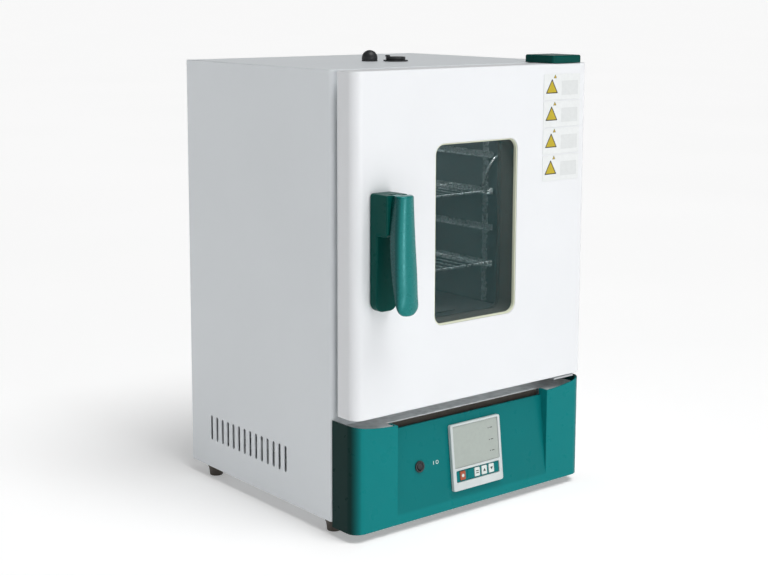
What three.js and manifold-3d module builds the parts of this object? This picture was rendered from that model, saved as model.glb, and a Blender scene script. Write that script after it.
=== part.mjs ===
// A bench-top laboratory incubator: a painted steel casing around an insulated stainless chamber, a
// side-hung door with a window, and a green lower front panel that carries the controller and the
// mains switch. Millimetres. X to the right, Y to the back, Z up. Shapes are drawn with Y measured back
// from the door's front face and Z up from the casing's underside. The whole is then placed with its
// origin on the floor.
import * as THREE from "three";
import { mergeVertices } from "three/addons/utils/BufferGeometryUtils.js";
import Module from "manifold-3d";

const wasm = await Module();
wasm.setup();

// ---- Driving dimensions -------------------------------------------------------------------------
const HALF_WIDTH = 240;
const GAP = 0.3; // between pieces that touch
const SHEET = 2; // painted sheet steel
const FOOT_HEIGHT = 20;
const MIDDLE_Y = 193; // half-way between the handle's front and the rear screws' heads

const CASING = { front: 56, back: 452, height: 681.5, edgeRadius: 8, lip: 14 };
const INSIDE = SHEET + 0.4; // inset from the casing's outside of what fits inside it
const DOOR = { bottom: 168.6, top: 681.2, back: 43.4, edgeRadius: 17, rearRadius: 3, lip: 14 };
const WINDOW = { x: -3, half: 85, bottom: 291, top: 569, radius: 17, trim: 2.2 };
const CHAMBER = { half: 175, back: 396, floor: 225, top: 625, radius: 12, wall: 2 };
const HINGE = { x: 213, y: 16, pinRadius: 4, bushRadius: 8 };
const GASKET = { half: 200, bottom: 200, top: 650, width: 12 };
const HANDLE = { left: -213.5, right: -173.5, bottom: 332, top: 506, plate: 17, block: 40, blockBottom: 445 };
const LEVER = { pivotY: -36, pivotZ: 495, pinRadius: 2.3, tongue: 14 };
const LATCH = { left: -220, right: -212, bottom: 471, top: 487, tip: 64, travel: 6 };
const PANEL = { bottom: -6, endTop: 160.5, top: 149.5, back: 55.6, edgeRadius: 20, wall: 3 };
const RECESS = { half: 158, sill: 8, depth: 16, top: 139.5 }; // the sloping control face, set back at its top
const CONTROLLER = { x: 5, z: 74, half: 52.5, proud: 7, bodyHalf: 45.5, bodyDepth: 50 };
const SWITCH = { x: -109, z: 74, flange: 9, barrel: 7.4, bore: 6.1, paddle: 5.1, tilt: 8 };
const SLOTS = { count: 14, firstY: 177, pitch: 16.4, width: 6.5, bottom: 48.5, top: 90.5 };
const FOOT = { x: 221, ys: [76, 408], topRadius: 14.5, bottomRadius: 11 };
const VENT = { x: 5, y: 207, radius: 10, flange: 20, cover: 16, pivotX: -7, pivotY: 213, pin: 2 };
const PORT = { x: -29, y: 232, radius: 9, bore: 6.5, flange: 13 };
const RUNNERS = { tops: [333, 395, 457, 519, 581], front: 150, back: 390, reach: 12 };
const SHELF = { half: 170.5, front: 165, back: 388, bar: 4, wires: 15, pitch: 22 };
const SHELF_TOPS_OF_RUNNERS = { shelf_upper: 457, shelf_lower: 333 };
const HEATER = { z: 246, radius: 4, legX: 30, legY: 370 };
const PROBE = { radius: 2.5, wallY: 140, wallZ: 520 };
const DECK = { bottom: 162, top: 164 };
const INLET = { x: 164, z: 54 };
const REAR = {
  coverFront: CASING.back + GAP,
  coverBack: CASING.back + GAP + SHEET,
  screwX: 231,
  screwZs: [24, 656],
  rim: 6, // from the casing's ends to the cover's edge
};
const LOUVRES = { count: 8, left: -120, right: -30, lowest: 40, pitch: 12, height: 4 };
const LABELS = { left: 137, right: 219, bottom: 495, top: 665, thickness: 0.4 };
const BOARD_PILLARS = [[-82, 118], [52, 118], [-82, 202], [52, 202]];
const PAN_FLOOR = GAP + SHEET + GAP; // what stands on the base pan starts here

// ---- Materials ----------------------------------------------------------------------------------
const finish = (color, roughness, metalness, opacity = 1) =>
  new THREE.MeshStandardMaterial({ color, roughness, metalness, opacity, transparent: opacity < 1 });
const WHITE_PAINT = finish(0xeef0ef, 0.35, 0);
const CASING_PAINT = finish(0xe2e3df, 0.45, 0);
const TEAL = finish(0x147d7a, 0.35, 0);
const DARK_TEAL = finish(0x12584f, 0.3, 0);
const STAINLESS = finish(0xb9bebe, 0.3, 0.9);
const GALVANISED = finish(0x8d9294, 0.5, 0.8);
const BARE_STEEL = finish(0xa9adae, 0.35, 0.9);
const CREAM = finish(0xdee0c8, 0.5, 0);
const SILICONE = finish(0xd6d4cc, 0.7, 0);
const WOOL = finish(0xd9c99a, 0.95, 0);
const RUBBER = finish(0x463e34, 0.85, 0);
const BLACK = finish(0x2a2c2e, 0.5, 0);
const SILVER = finish(0xc8cdcd, 0.4, 0.5);
const LCD = finish(0xa5aba5, 0.25, 0);
const RED_BROWN = finish(0xa8552f, 0.5, 0);
const PALE_KEY = finish(0xd5dcda, 0.5, 0);
const GLASS = finish(0x9fb8bc, 0.05, 0, 0.3);
const STICKER = finish(0xe8eae8, 0.6, 0);
const BOARD = finish(0x1f6a3c, 0.6, 0);
const COPPER = finish(0xb06a3a, 0.45, 0.7);

// ---- Solids -------------------------------------------------------------------------------------
function solid(geometry) {
  const bare = geometry.clone();
  bare.deleteAttribute("normal");
  bare.deleteAttribute("uv");
  const merged = mergeVertices(bare, 1e-4);
  const vertProperties = merged.attributes.position.array;
  return new wasm.Manifold(new wasm.Mesh({ numProp: 3, vertProperties, triVerts: merged.index.array }));
}

const joined = (solids) => solids.reduce((whole, next) => whole.add(next));
const cut = (whole, solids) => solids.reduce((left, next) => left.subtract(next), whole);

function boxGeometry(x0, x1, y0, y1, z0, z1) {
  const geometry = new THREE.BoxGeometry(x1 - x0, y1 - y0, z1 - z0);
  return geometry.translate((x0 + x1) / 2, (y0 + y1) / 2, (z0 + z1) / 2);
}

const box = (...sides) => solid(boxGeometry(...sides));

const EXTRUDE = { bevelEnabled: false, curveSegments: 4 };

// An outline drawn in X and Y, raised from z0 to z1.
function upright(shape, z0, z1) {
  return new THREE.ExtrudeGeometry(shape, { ...EXTRUDE, depth: z1 - z0 }).translate(0, 0, z0);
}

// An outline drawn in X and Z, reaching back from y0 to y1.
function reaching(shape, y0, y1) {
  const geometry = new THREE.ExtrudeGeometry(shape, { ...EXTRUDE, depth: y1 - y0 });
  return geometry.rotateX(Math.PI / 2).translate(0, y1, 0);
}

// An outline drawn in Y and Z, running across from x0 to x1.
function across(shape, x0, x1) {
  const toYZ = new THREE.Matrix4().makeBasis(
    new THREE.Vector3(0, 1, 0), new THREE.Vector3(0, 0, 1), new THREE.Vector3(1, 0, 0));
  const geometry = new THREE.ExtrudeGeometry(shape, { ...EXTRUDE, depth: x1 - x0 });
  return geometry.applyMatrix4(toYZ).translate(x0, 0, 0);
}

const polygon = (points) => new THREE.Shape(points.map(([a, b]) => new THREE.Vector2(a, b)));

// A rectangle with its own radius at each corner, from the low corner round counter-clockwise.
function rounded(a0, a1, b0, b1, radii) {
  const [r0, r1, r2, r3] = Array.isArray(radii) ? radii : [radii, radii, radii, radii];
  const shape = new THREE.Shape().moveTo(a0 + r0, b0).lineTo(a1 - r1, b0);
  if (r1 > 0) shape.absarc(a1 - r1, b0 + r1, r1, -Math.PI / 2, 0, false);
  shape.lineTo(a1, b1 - r2);
  if (r2 > 0) shape.absarc(a1 - r2, b1 - r2, r2, 0, Math.PI / 2, false);
  shape.lineTo(a0 + r3, b1);
  if (r3 > 0) shape.absarc(a0 + r3, b1 - r3, r3, Math.PI / 2, Math.PI, false);
  shape.lineTo(a0, b0 + r0);
  if (r0 > 0) shape.absarc(a0 + r0, b0 + r0, r0, Math.PI, 1.5 * Math.PI, false);
  return shape;
}

function rodZ(x, y, z0, z1, bottomRadius, topRadius = bottomRadius, sides = 16) {
  const geometry = new THREE.CylinderGeometry(topRadius, bottomRadius, z1 - z0, sides);
  return solid(geometry.rotateX(Math.PI / 2).translate(x, y, (z0 + z1) / 2));
}

function rodY(x, z, y0, y1, radius, sides = 12) {
  return solid(new THREE.CylinderGeometry(radius, radius, y1 - y0, sides).translate(x, (y0 + y1) / 2, z));
}

function rodX(y, z, x0, x1, radius, sides = 12) {
  const geometry = new THREE.CylinderGeometry(radius, radius, x1 - x0, sides);
  return solid(geometry.rotateZ(Math.PI / 2).translate((x0 + x1) / 2, y, z));
}

// A round tube or rod along a smooth curve through the points.
function alongCurve(points, radius, steps, sides = 8) {
  const ring = Array.from({ length: sides }, (_, i) => {
    const turn = (2 * Math.PI * i) / sides;
    return [radius * Math.cos(turn), radius * Math.sin(turn)];
  });
  const extrudePath = new THREE.CatmullRomCurve3(points.map((p) => new THREE.Vector3(...p)));
  return solid(new THREE.ExtrudeGeometry(polygon(ring), { steps, bevelEnabled: false, extrudePath }));
}

// A turned shape about a vertical axis. The profile is [radius, height] pairs, up one side and back.
function turned(profile, x, y, z, sides = 16) {
  const points = profile.map(([radius, height]) => new THREE.Vector2(radius, height));
  return solid(new THREE.LatheGeometry(points, sides).rotateX(Math.PI / 2).translate(x, y, z));
}

const incubator = new THREE.Group();

function piece(name, whole, material, parent = incubator) {
  const { vertProperties, triVerts } = whole.getMesh();
  const geometry = new THREE.BufferGeometry();
  geometry.setAttribute("position", new THREE.BufferAttribute(vertProperties, 3));
  geometry.setIndex(new THREE.BufferAttribute(triVerts, 1));
  const mesh = new THREE.Mesh(geometry.toNonIndexed(), material);
  mesh.geometry.computeVertexNormals();
  mesh.name = name;
  parent.add(mesh);
}

// ---- Casing -------------------------------------------------------------------------------------
// The casing's outline seen from above, drawn `inset` inside its outer faces.
function casingOutline(inset) {
  const r = Math.max(CASING.edgeRadius - inset, 1);
  const half = HALF_WIDTH - inset;
  return rounded(-half, half, CASING.front + inset, CASING.back - inset, [r, r, 0, 0]);
}

function sideSlots() {
  const slots = [];
  for (let i = 0; i < SLOTS.count; i++) {
    const y = SLOTS.firstY + i * SLOTS.pitch;
    const half = SLOTS.width / 2;
    slots.push(box(-HALF_WIDTH - 1, -HALF_WIDTH + 5, y - half, y + half, SLOTS.bottom, SLOTS.top));
    slots.push(box(HALF_WIDTH - 5, HALF_WIDTH + 1, y - half, y + half, SLOTS.bottom, SLOTS.top));
  }
  return slots;
}

function rearScrewPlaces() {
  return REAR.screwZs.flatMap((z) => [-REAR.screwX, REAR.screwX].map((x) => [x, z]));
}

function outerCasing() {
  const { height, front, back, lip } = CASING;
  const openHalf = HALF_WIDTH - lip;
  const rearOpening = box(-openHalf, openHalf, back - 10, back + 5, 8, height - lip);
  return cut(solid(upright(casingOutline(0), 0, height)), [
    solid(upright(casingOutline(SHEET), -1, height - SHEET)),
    box(-openHalf, openHalf, front - 5, front + 10, -1, height - lip - 6),
    rearOpening,
    ...sideSlots(),
    ...rearScrewPlaces().map(([x, z]) => rodY(x, z, back - 10, back + 5, 2.6)),
    rodZ(VENT.x, VENT.y, height - 10, height + 5, VENT.radius + 0.5),
    rodZ(PORT.x, PORT.y, height - 10, height + 5, PORT.radius + 0.5),
  ]);
}

function basePan() {
  const rim = 14;
  const outer = upright(casingOutline(INSIDE), GAP, rim);
  const inner = upright(casingOutline(INSIDE + SHEET), GAP + SHEET, rim + 1);
  return solid(outer).subtract(solid(inner));
}

function rearCover() {
  const half = HALF_WIDTH - 3;
  const { coverFront, coverBack, rim } = REAR;
  const y0 = coverFront - 2;
  const y1 = coverBack + 2;
  const plate = reaching(rounded(-half, half, rim, CASING.height - rim, 4), coverFront, coverBack);
  const louvres = Array.from({ length: LOUVRES.count }, (_, row) => {
    const z = LOUVRES.lowest + row * LOUVRES.pitch;
    return box(LOUVRES.left, LOUVRES.right, y0, y1, z, z + LOUVRES.height);
  });
  const { x, z } = INLET;
  return cut(solid(plate), [
    ...louvres,
    box(x - 14.8, x + 14.8, y0, y1, z - 10.8, z + 10.8),
    ...rearScrewPlaces().map(([screwX, screwZ]) => rodY(screwX, screwZ, y0, y1, 2.6)),
  ]);
}

function addRearScrews() {
  rearScrewPlaces().forEach(([x, z], i) => {
    const head = rodY(x, z, REAR.coverBack + GAP, REAR.coverBack + 1.7, 4.6);
    const shank = rodY(x, z, CASING.back - SHEET - 0.1, REAR.coverBack + 0.5, 2.2);
    piece(`rear_screw_${i + 1}`, head.add(shank), BARE_STEEL);
  });
}

function mouthOutline(grow = 0) {
  const { half, floor, top, radius } = CHAMBER;
  return rounded(-half - grow, half + grow, floor - grow, top + grow, radius + grow);
}

// The plate round the chamber's mouth, which runs down behind the lower panel with a service opening.
function frontFrame() {
  const half = HALF_WIDTH - CASING.lip - GAP;
  const top = CASING.height - CASING.lip - 6 - GAP;
  const y0 = CASING.front;
  const y1 = CASING.front + SHEET;
  return cut(box(-half, half, y0, y1, 1, top), [
    solid(reaching(mouthOutline(), y0 - 5, y1 + 5)),
    box(-200, 200, y0 - 5, y1 + 5, 16, 130),
    box(LATCH.left - 4, LATCH.right + 9, y0 - 5, y1 + 5, LATCH.bottom - 5, LATCH.top + 5),
  ]);
}

function compartmentDeck() {
  const plate = solid(upright(casingOutline(INSIDE), DECK.bottom, DECK.top));
  const legs = [-1, 1].map((side) =>
    rodZ(side * HEATER.legX, HEATER.legY, DECK.bottom - 5, DECK.top + 5, HEATER.radius + 2));
  return cut(plate, legs);
}

function addFeet() {
  const { x, ys, topRadius, bottomRadius } = FOOT;
  const sides = { left: -x, right: x };
  const ends = { front: ys[0], rear: ys[1] };
  for (const [end, footY] of Object.entries(ends))
    for (const [side, footX] of Object.entries(sides))
      piece(`foot_${end}_${side}`, rodZ(footX, footY, -FOOT_HEIGHT, 0, bottomRadius, topRadius), RUBBER);
}

// ---- Chamber ------------------------------------------------------------------------------------
function heaterLegHoles(z0, z1) {
  return [-1, 1].map((side) => rodZ(side * HEATER.legX, HEATER.legY, z0, z1, HEATER.radius + 1.5));
}

function chamberLiner() {
  const { wall, back, floor, top } = CHAMBER;
  const front = CASING.front + SHEET + 0.5;
  return cut(solid(reaching(mouthOutline(wall), front, back + wall)), [
    solid(reaching(mouthOutline(), front - 5, back)),
    rodZ(VENT.x, VENT.y, top - 10, top + 10, VENT.radius + 0.5),
    rodZ(PORT.x, PORT.y, top - 10, top + 10, PORT.radius + 0.5),
    ...heaterLegHoles(floor - 10, floor + 10),
    rodX(PROBE.wallY, PROBE.wallZ, CHAMBER.half - 10, CHAMBER.half + 10, PROBE.radius + 1),
  ]);
}

function chamberInsulation() {
  const { back, wall, half, floor, top } = CHAMBER;
  const bottom = DECK.top + 0.4;
  const height = CASING.height - SHEET - 0.4;
  return cut(solid(upright(casingOutline(INSIDE), bottom, height)), [
    solid(reaching(mouthOutline(wall + GAP), CASING.front, back + wall + GAP)),
    rodZ(VENT.x, VENT.y, top, height + 5, VENT.radius + 0.5),
    rodZ(PORT.x, PORT.y, top, height + 5, PORT.radius + 0.5),
    ...heaterLegHoles(bottom - 5, floor),
    rodX(PROBE.wallY, PROBE.wallZ, half, half + 20, PROBE.radius + 1),
    box(LATCH.left - 5, LATCH.right + 10, CASING.front, LATCH.tip + 6, LATCH.bottom - 8, LATCH.top + 8),
  ]);
}

function rack(side) {
  const wallX = CHAMBER.half - 0.5;
  const uprightX = wallX - 2.4;
  const spans = (x0, x1) => (side > 0 ? [x0, x1] : [-x1, -x0]);
  const posts = [164, 376].map((y) => box(...spans(uprightX, wallX), y, y + 12, 269, 610));
  const runners = RUNNERS.tops.map((z) =>
    joined([
      box(...spans(wallX - RUNNERS.reach, uprightX + 0.4), RUNNERS.front, RUNNERS.back, z - 1.5, z),
      box(...spans(uprightX - 1, uprightX + 0.4), RUNNERS.front, RUNNERS.back, z - 1.5, z + 9),
    ]));
  return joined([...posts, ...runners]);
}

function wireShelf(runnerTop) {
  const { half, front, back, bar, wires, pitch } = SHELF;
  const z = runnerTop + GAP;
  const frame = box(-half, half, front, back, z, z + bar)
    .subtract(box(-half + bar, half - bar, front + bar, back - bar, z - 1, z + bar + 1));
  const middle = box(-half + 1, half - 1, (front + back - bar) / 2, (front + back + bar) / 2, z, z + 2);
  const rods = [];
  for (let i = 0; i < wires; i++) {
    const x = (i - (wires - 1) / 2) * pitch;
    rods.push(box(x - 1.3, x + 1.3, front + 1, back - 1, z + 1.2, z + bar - 0.2));
  }
  return joined([frame, middle, ...rods]);
}

function heaterElement() {
  const { z, legX, legY, radius } = HEATER;
  const right = [
    [legX, legY, 140], [legX, legY, 190], [legX, legY, z - 12], [legX + 6, legY - 4, z],
    [110, legY - 8, z], [138, 330, z], [138, 140, z], [112, 105, z], [86, 140, z], [86, 290, z],
    [60, 320, z], [34, 290, z], [34, 130, z], [0, 100, z],
  ];
  const left = right.slice(0, -1).reverse().map(([x, y, height]) => [-x, y, height]);
  return alongCurve([...right, ...left], radius, 64, 6);
}

function heaterCover() {
  const { half, floor } = CHAMBER;
  const outer = half - 3;
  const top = 268;
  const channel = box(-outer, outer, 64, 390, floor + 9, top)
    .subtract(box(-outer + 2, outer - 2, 60, 394, floor, top - 2));
  const slots = [];
  for (let row = 0; row < 6; row++)
    for (const x of [-120, -50, 20]) {
      const y = 100 + row * 48;
      slots.push(box(x, x + 70, y, y + 6, top - 5, top + 5));
    }
  return cut(channel, slots);
}

function temperatureProbe() {
  const { wallY, wallZ, radius } = PROBE;
  const inWall = CHAMBER.half + 8;
  const route = [
    [inWall, wallY, wallZ], [inWall - 6, wallY, wallZ], [168, wallY + 1, wallZ - 1],
    [161, wallY + 6, wallZ - 14], [158, wallY + 14, wallZ - 34], [157, wallY + 20, wallZ - 50],
  ];
  return alongCurve(route, radius, 14, 6);
}

// ---- Top fittings -------------------------------------------------------------------------------
function ventTube() {
  const { x, y, radius, flange, pivotX, pivotY, pin } = VENT;
  const top = CASING.height + GAP;
  const tube = joined([
    rodZ(x, y, CHAMBER.top - 1, top + 2, radius),
    rodZ(x, y, top, top + 2, flange),
    rodZ(pivotX, pivotY, top + 1, top + 9, pin, pin, 12),
    rodZ(pivotX, pivotY, top + 7.6, top + 10, 4.5, 3.5, 12),
  ]);
  return tube.subtract(rodZ(x, y, CHAMBER.top - 5, top + 5, radius - 2));
}

function ventCover() {
  const { x, y, cover, pivotX, pivotY, pin } = VENT;
  const bottom = CASING.height + GAP + 2 + GAP;
  const plate = rodZ(x, y, bottom, bottom + 4.4, cover);
  const rim = rodZ(x, y, bottom + 4, bottom + 5, cover, cover - 1.5);
  return plate.add(rim).subtract(rodZ(pivotX, pivotY, bottom - 5, bottom + 4.7, pin + 0.4, pin + 0.4, 12))
    .subtract(rodZ(pivotX, pivotY, bottom + 4.3, bottom + 9, 5.2, 5.2, 12));
}

function portTube() {
  const { x, y, radius, bore, flange } = PORT;
  const top = CASING.height + GAP;
  return joined([rodZ(x, y, CHAMBER.top - 1, top + 2, radius), rodZ(x, y, top, top + 2, flange)])
    .subtract(rodZ(x, y, CHAMBER.top - 5, top + 5, bore));
}

function portStopper() {
  const plug = PORT.bore - 0.5;
  const seat = CASING.height + 2 + 2 * GAP;
  const profile = [[0, -44], [plug - 0.7, -44], [plug, -6], [plug, 0], [12.5, 0], [12.8, 3]];
  for (let i = 1; i <= 6; i++) {
    const turn = (i / 6) * (Math.PI / 2);
    profile.push([12.8 * Math.cos(turn), 3 + 12.5 * Math.sin(turn)]);
  }
  profile[profile.length - 1][0] = 0;
  return turned(profile, PORT.x, PORT.y, seat);
}

// ---- Lower front panel and controls -------------------------------------------------------------
function panelOutline(inset) {
  const half = HALF_WIDTH - inset;
  const r = PANEL.edgeRadius - inset;
  return rounded(-half, half, inset, PANEL.back, [r, r, 0, 0]);
}

const SLOPE = RECESS.depth / (PANEL.top - RECESS.sill);
const LEAN = -Math.atan(SLOPE);

// The recess over the sloping face, pushed `back` into the panel.
function recess(back, half) {
  const { sill } = RECESS;
  const over = PANEL.endTop + 14;
  const outline = [[back - 8, sill], [back, sill], [back + (over - sill) * SLOPE, over], [back - 8, over]];
  return solid(across(polygon(outline), -half, half));
}

// Everything above the panel's top edge, which sweeps up to the two ends.
function aboveTopEdge() {
  const { endTop, top } = PANEL;
  const far = HALF_WIDTH + 1;
  const outline = new THREE.Shape().moveTo(-far, endTop)
    .quadraticCurveTo(-200, top + 1, -RECESS.half, top)
    .lineTo(RECESS.half, top)
    .quadraticCurveTo(200, top + 1, far, endTop)
    .lineTo(far, endTop + 20)
    .lineTo(-far, endTop + 20);
  return solid(reaching(outline, -5, CASING.front + 5));
}

// A place on the sloping face: local x across, z up the face and y inwards, square to it.
function onSlope(x, z) {
  const matrix = new THREE.Matrix4().makeRotationX(LEAN);
  return matrix.setPosition(x, (z - RECESS.sill) * SLOPE, z);
}

const controllerPlace = onSlope(CONTROLLER.x, CONTROLLER.z);
const switchPlace = onSlope(SWITCH.x, SWITCH.z);

function lowerFrontPanel() {
  const { bottom, endTop, wall } = PANEL;
  const hole = CONTROLLER.bodyHalf + 0.6;
  const outer = solid(upright(panelOutline(0), bottom, endTop));
  const low = bottom - 1;
  const high = endTop + 20;
  const openHalf = HALF_WIDTH - wall;
  const behindRecess = recess(wall + 0.2, RECESS.half + wall);
  const hollow = solid(upright(panelOutline(wall), low, high)).subtract(behindRecess);
  const rear = box(-openHalf, openHalf, PANEL.back - 5, PANEL.back + 5, low, high);
  const barrel = SWITCH.barrel + 0.4;
  return cut(outer, [
    recess(0, RECESS.half),
    box(-RECESS.half, RECESS.half, -5, 24, RECESS.top, high),
    hollow,
    rear,
    aboveTopEdge(),
    solid(boxGeometry(-hole, hole, -20, 30, -hole, hole).applyMatrix4(controllerPlace)),
    solid(new THREE.CylinderGeometry(barrel, barrel, 40, 24).applyMatrix4(switchPlace)),
  ]);
}

function ledgePlate() {
  const { wall, top } = PANEL;
  const plate = upright(panelOutline(wall + 0.4), top - 3, top - 1);
  const half = RECESS.half + wall + 0.5;
  return solid(plate).subtract(box(-half, half, -5, 26, top - 10, top + 5));
}

function placedGroup(place) {
  const group = new THREE.Group();
  group.applyMatrix4(place);
  incubator.add(group);
  return group;
}

const LENS = { half: 47.5, bottom: -17, top: 49 };
const KEYPAD = { half: 45.5, bottom: -39.5, top: -21 };
const KEYS = { left: -32, pitch: 15.2, width: 11, height: 14, middle: -30 };
const KEY_SLOTS = { key_start: 0, key_set: 2, key_up: 3, key_down: 4 };

const keyX = (slot) => KEYS.left + slot * KEYS.pitch;

function keyBox(slot, clearance, y0, y1) {
  const w = KEYS.width / 2 + clearance;
  const h = KEYS.height / 2 + clearance;
  return box(keyX(slot) - w, keyX(slot) + w, y0, y1, KEYS.middle - h, KEYS.middle + h);
}

function addController() {
  const group = placedGroup(controllerPlace);
  const { half, proud, bodyHalf, bodyDepth } = CONTROLLER;
  const bezel = cut(solid(reaching(rounded(-half, half, -half, half, 3), -proud, -GAP)), [
    box(-LENS.half, LENS.half, -proud - 5, 5, LENS.bottom, LENS.top),
    box(-KEYPAD.half, KEYPAD.half, -proud - 5, 5, KEYPAD.bottom, KEYPAD.top),
  ]);
  piece("controller_bezel", bezel, SILVER, group);
  piece("controller_housing", box(-bodyHalf, bodyHalf, 0, bodyDepth, -bodyHalf, bodyHalf), BLACK, group);
  const lens = [-LENS.half + GAP, LENS.half - GAP, -5.6, -3.4, LENS.bottom + GAP, LENS.top - GAP];
  piece("lcd_window", box(...lens), LCD, group);
  const keypadHalf = KEYPAD.half - GAP;
  const plate = box(-keypadHalf, keypadHalf, -5, -2, KEYPAD.bottom + GAP, KEYPAD.top - GAP);
  const blank = keyBox(1, 0, -6, -4);
  const keyHoles = Object.values(KEY_SLOTS).map((slot) => keyBox(slot, 0.4, -10, 5));
  piece("keypad_plate", cut(plate.add(blank), keyHoles), TEAL, group);
  for (const [name, slot] of Object.entries(KEY_SLOTS)) {
    piece(name, keyBox(slot, 0, -6.3, -1.3), slot === 0 ? RED_BROWN : PALE_KEY, group);
  }
}

function addPowerSwitch() {
  const group = placedGroup(switchPlace);
  const { flange, barrel, bore, paddle, tilt } = SWITCH;
  const body = rodY(0, 0, -2.6, -GAP, flange, 32).add(rodY(0, 0, -1, 22, barrel, 32));
  piece("power_switch_body", body.subtract(rodY(0, 0, -5, 14, bore, 32)), BLACK, group);
  const rocker = new THREE.CylinderGeometry(paddle, paddle, 7.4, 24).translate(0, -0.7, 0);
  const front = new THREE.CylinderGeometry(30, 30, 20, 48).rotateZ(Math.PI / 2).translate(0, -33.2, 0);
  const pivotDepth = 1;
  const tilted = new THREE.Matrix4().makeRotationX(THREE.MathUtils.degToRad(-tilt));
  tilted.setPosition(0, pivotDepth, 0);
  const shaped = solid(rocker.applyMatrix4(tilted)).subtract(solid(front.applyMatrix4(tilted)));
  piece("power_rocker", shaped, BLACK, group);
}

// ---- Door ---------------------------------------------------------------------------------------
function doorOutline(inset, back) {
  const half = HALF_WIDTH - inset;
  const front = DOOR.edgeRadius - inset;
  const rear = Math.max(DOOR.rearRadius - inset, 0);
  return rounded(-half, half, inset, back, [front, front, rear, rear]);
}

function windowOutline(inset) {
  const { x, half, bottom, top, radius } = WINDOW;
  return rounded(x - half + inset, x + half - inset, bottom + inset, top - inset, radius - inset);
}

function hingePins(radius) {
  const { x, y } = HINGE;
  const upper = rodZ(x, y, DOOR.top - 30, DOOR.top + 5, radius);
  const lower = rodZ(x, y, DOOR.bottom - 5, DOOR.bottom + 30, radius);
  return [upper, lower];
}

function doorOuterShell() {
  const { bottom, top, back, lip } = DOOR;
  const openHalf = HALF_WIDTH - lip;
  return cut(solid(upright(doorOutline(0, back), bottom, top)), [
    solid(upright(doorOutline(SHEET, back - SHEET), bottom + SHEET, top - SHEET)),
    box(-openHalf, openHalf, back - 10, back + 5, bottom + lip, top - lip),
    solid(reaching(windowOutline(0), -5, 20)),
    ...hingePins(HINGE.pinRadius + 0.4),
  ]);
}

function latchSpace(y0, y1, margin) {
  const { left, right, bottom, top, travel } = LATCH;
  return box(left - 3, right + travel + 2, y0, y1, bottom - margin, top + margin);
}

function doorInnerPanel() {
  const { bottom, top, back, lip } = DOOR;
  const half = HALF_WIDTH - lip - GAP;
  const plate = box(-half, half, back - 1.8, back - 0.2, bottom + lip + GAP, top - lip - GAP);
  return cut(plate, [solid(reaching(windowOutline(0), 30, 60)), latchSpace(30, 60, 5)]);
}

function doorInsulation() {
  const { bottom, top, back } = DOOR;
  const inset = SHEET + GAP;
  return cut(solid(upright(doorOutline(inset, back - 2.2), bottom + inset, top - inset)), [
    solid(reaching(windowOutline(-GAP), -5, 60)),
    ...hingePins(HINGE.bushRadius + 0.4),
    box(LATCH.left - 8, LATCH.right + 20, 18, 60, LATCH.bottom - 8, LATCH.top + 8),
  ]);
}

function windowTrim() {
  const outer = solid(reaching(windowOutline(GAP), 0.6, DOOR.back - 0.2));
  return outer.subtract(solid(reaching(windowOutline(WINDOW.trim), -5, 60)));
}

const pane = (y0, y1) => solid(reaching(windowOutline(WINDOW.trim + GAP), y0, y1));

function doorGasket() {
  const { half, bottom, top, width } = GASKET;
  const y0 = DOOR.back + 0.1;
  const y1 = CASING.front - GAP;
  const outer = reaching(rounded(-half, half, bottom, top, 18), y0, y1);
  const mouth = rounded(-half + width, half - width, bottom + width, top - width, 10);
  const inner = reaching(mouth, y0 - 5, y1 + 5);
  const groove = reaching(rounded(-half - 5, half + 5, bottom - 5, top + 5, 20), y0 + 4, y0 + 8);
  const core = reaching(rounded(-half + 3, half - 3, bottom + 3, top - 3, 16), y0 - 1, y1 + 1);
  return solid(outer).subtract(solid(inner)).subtract(solid(groove).subtract(solid(core)));
}

function hingeBush(z0, z1) {
  const { x, y, pinRadius, bushRadius } = HINGE;
  return rodZ(x, y, z0, z1, bushRadius).subtract(rodZ(x, y, z0 - 1, z1 + 1, pinRadius + 0.3));
}

function upperHingeBracket() {
  const z = CASING.height + 0.4;
  const plate = box(180, 219.6, 4, 63.6, z, z + 2.5);
  return plate.add(rodZ(HINGE.x, HINGE.y, DOOR.top - 18, z + 2.5, HINGE.pinRadius));
}

function lowerHingeBracket() {
  const top = DOOR.bottom - 2.2;
  return joined([
    box(178, 222, 4, CASING.front - GAP, top - 3, top),
    box(178, 222, CASING.front - 3, CASING.front - GAP, PANEL.top, top),
    rodZ(HINGE.x, HINGE.y, top - 1, DOOR.bottom + 18, HINGE.pinRadius),
  ]);
}

function hingeCover() {
  const z0 = CASING.height + 0.4;
  const z1 = CASING.height + 12.5;
  const outer = upright(rounded(158, 222, 0, 66, 3), z0, z1);
  return solid(outer).subtract(box(160, 220, 2, 64, z0 - 5, z1 - 2));
}

function handleBase() {
  const { left, right, bottom, top, plate, block, blockBottom } = HANDLE;
  const face = rounded(left, right, bottom, top, [14, 14, 5, 5]);
  const knuckle = rounded(-block, -plate + 1, blockBottom, top, [8, 0, 0, 2]);
  const slotHalf = LEVER.tongue / 2 + 0.5;
  const middle = (left + right) / 2;
  return cut(joined([solid(reaching(face, -plate, -GAP)), solid(across(knuckle, left, right))]), [
    box(middle - slotHalf, middle + slotHalf, -block - 5, LEVER.pivotY + 8.8, LEVER.pivotZ - 9, top + 5),
    rodX(LEVER.pivotY, LEVER.pivotZ, left + 4, right + 5, LEVER.pinRadius + 0.3),
  ]);
}

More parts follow.
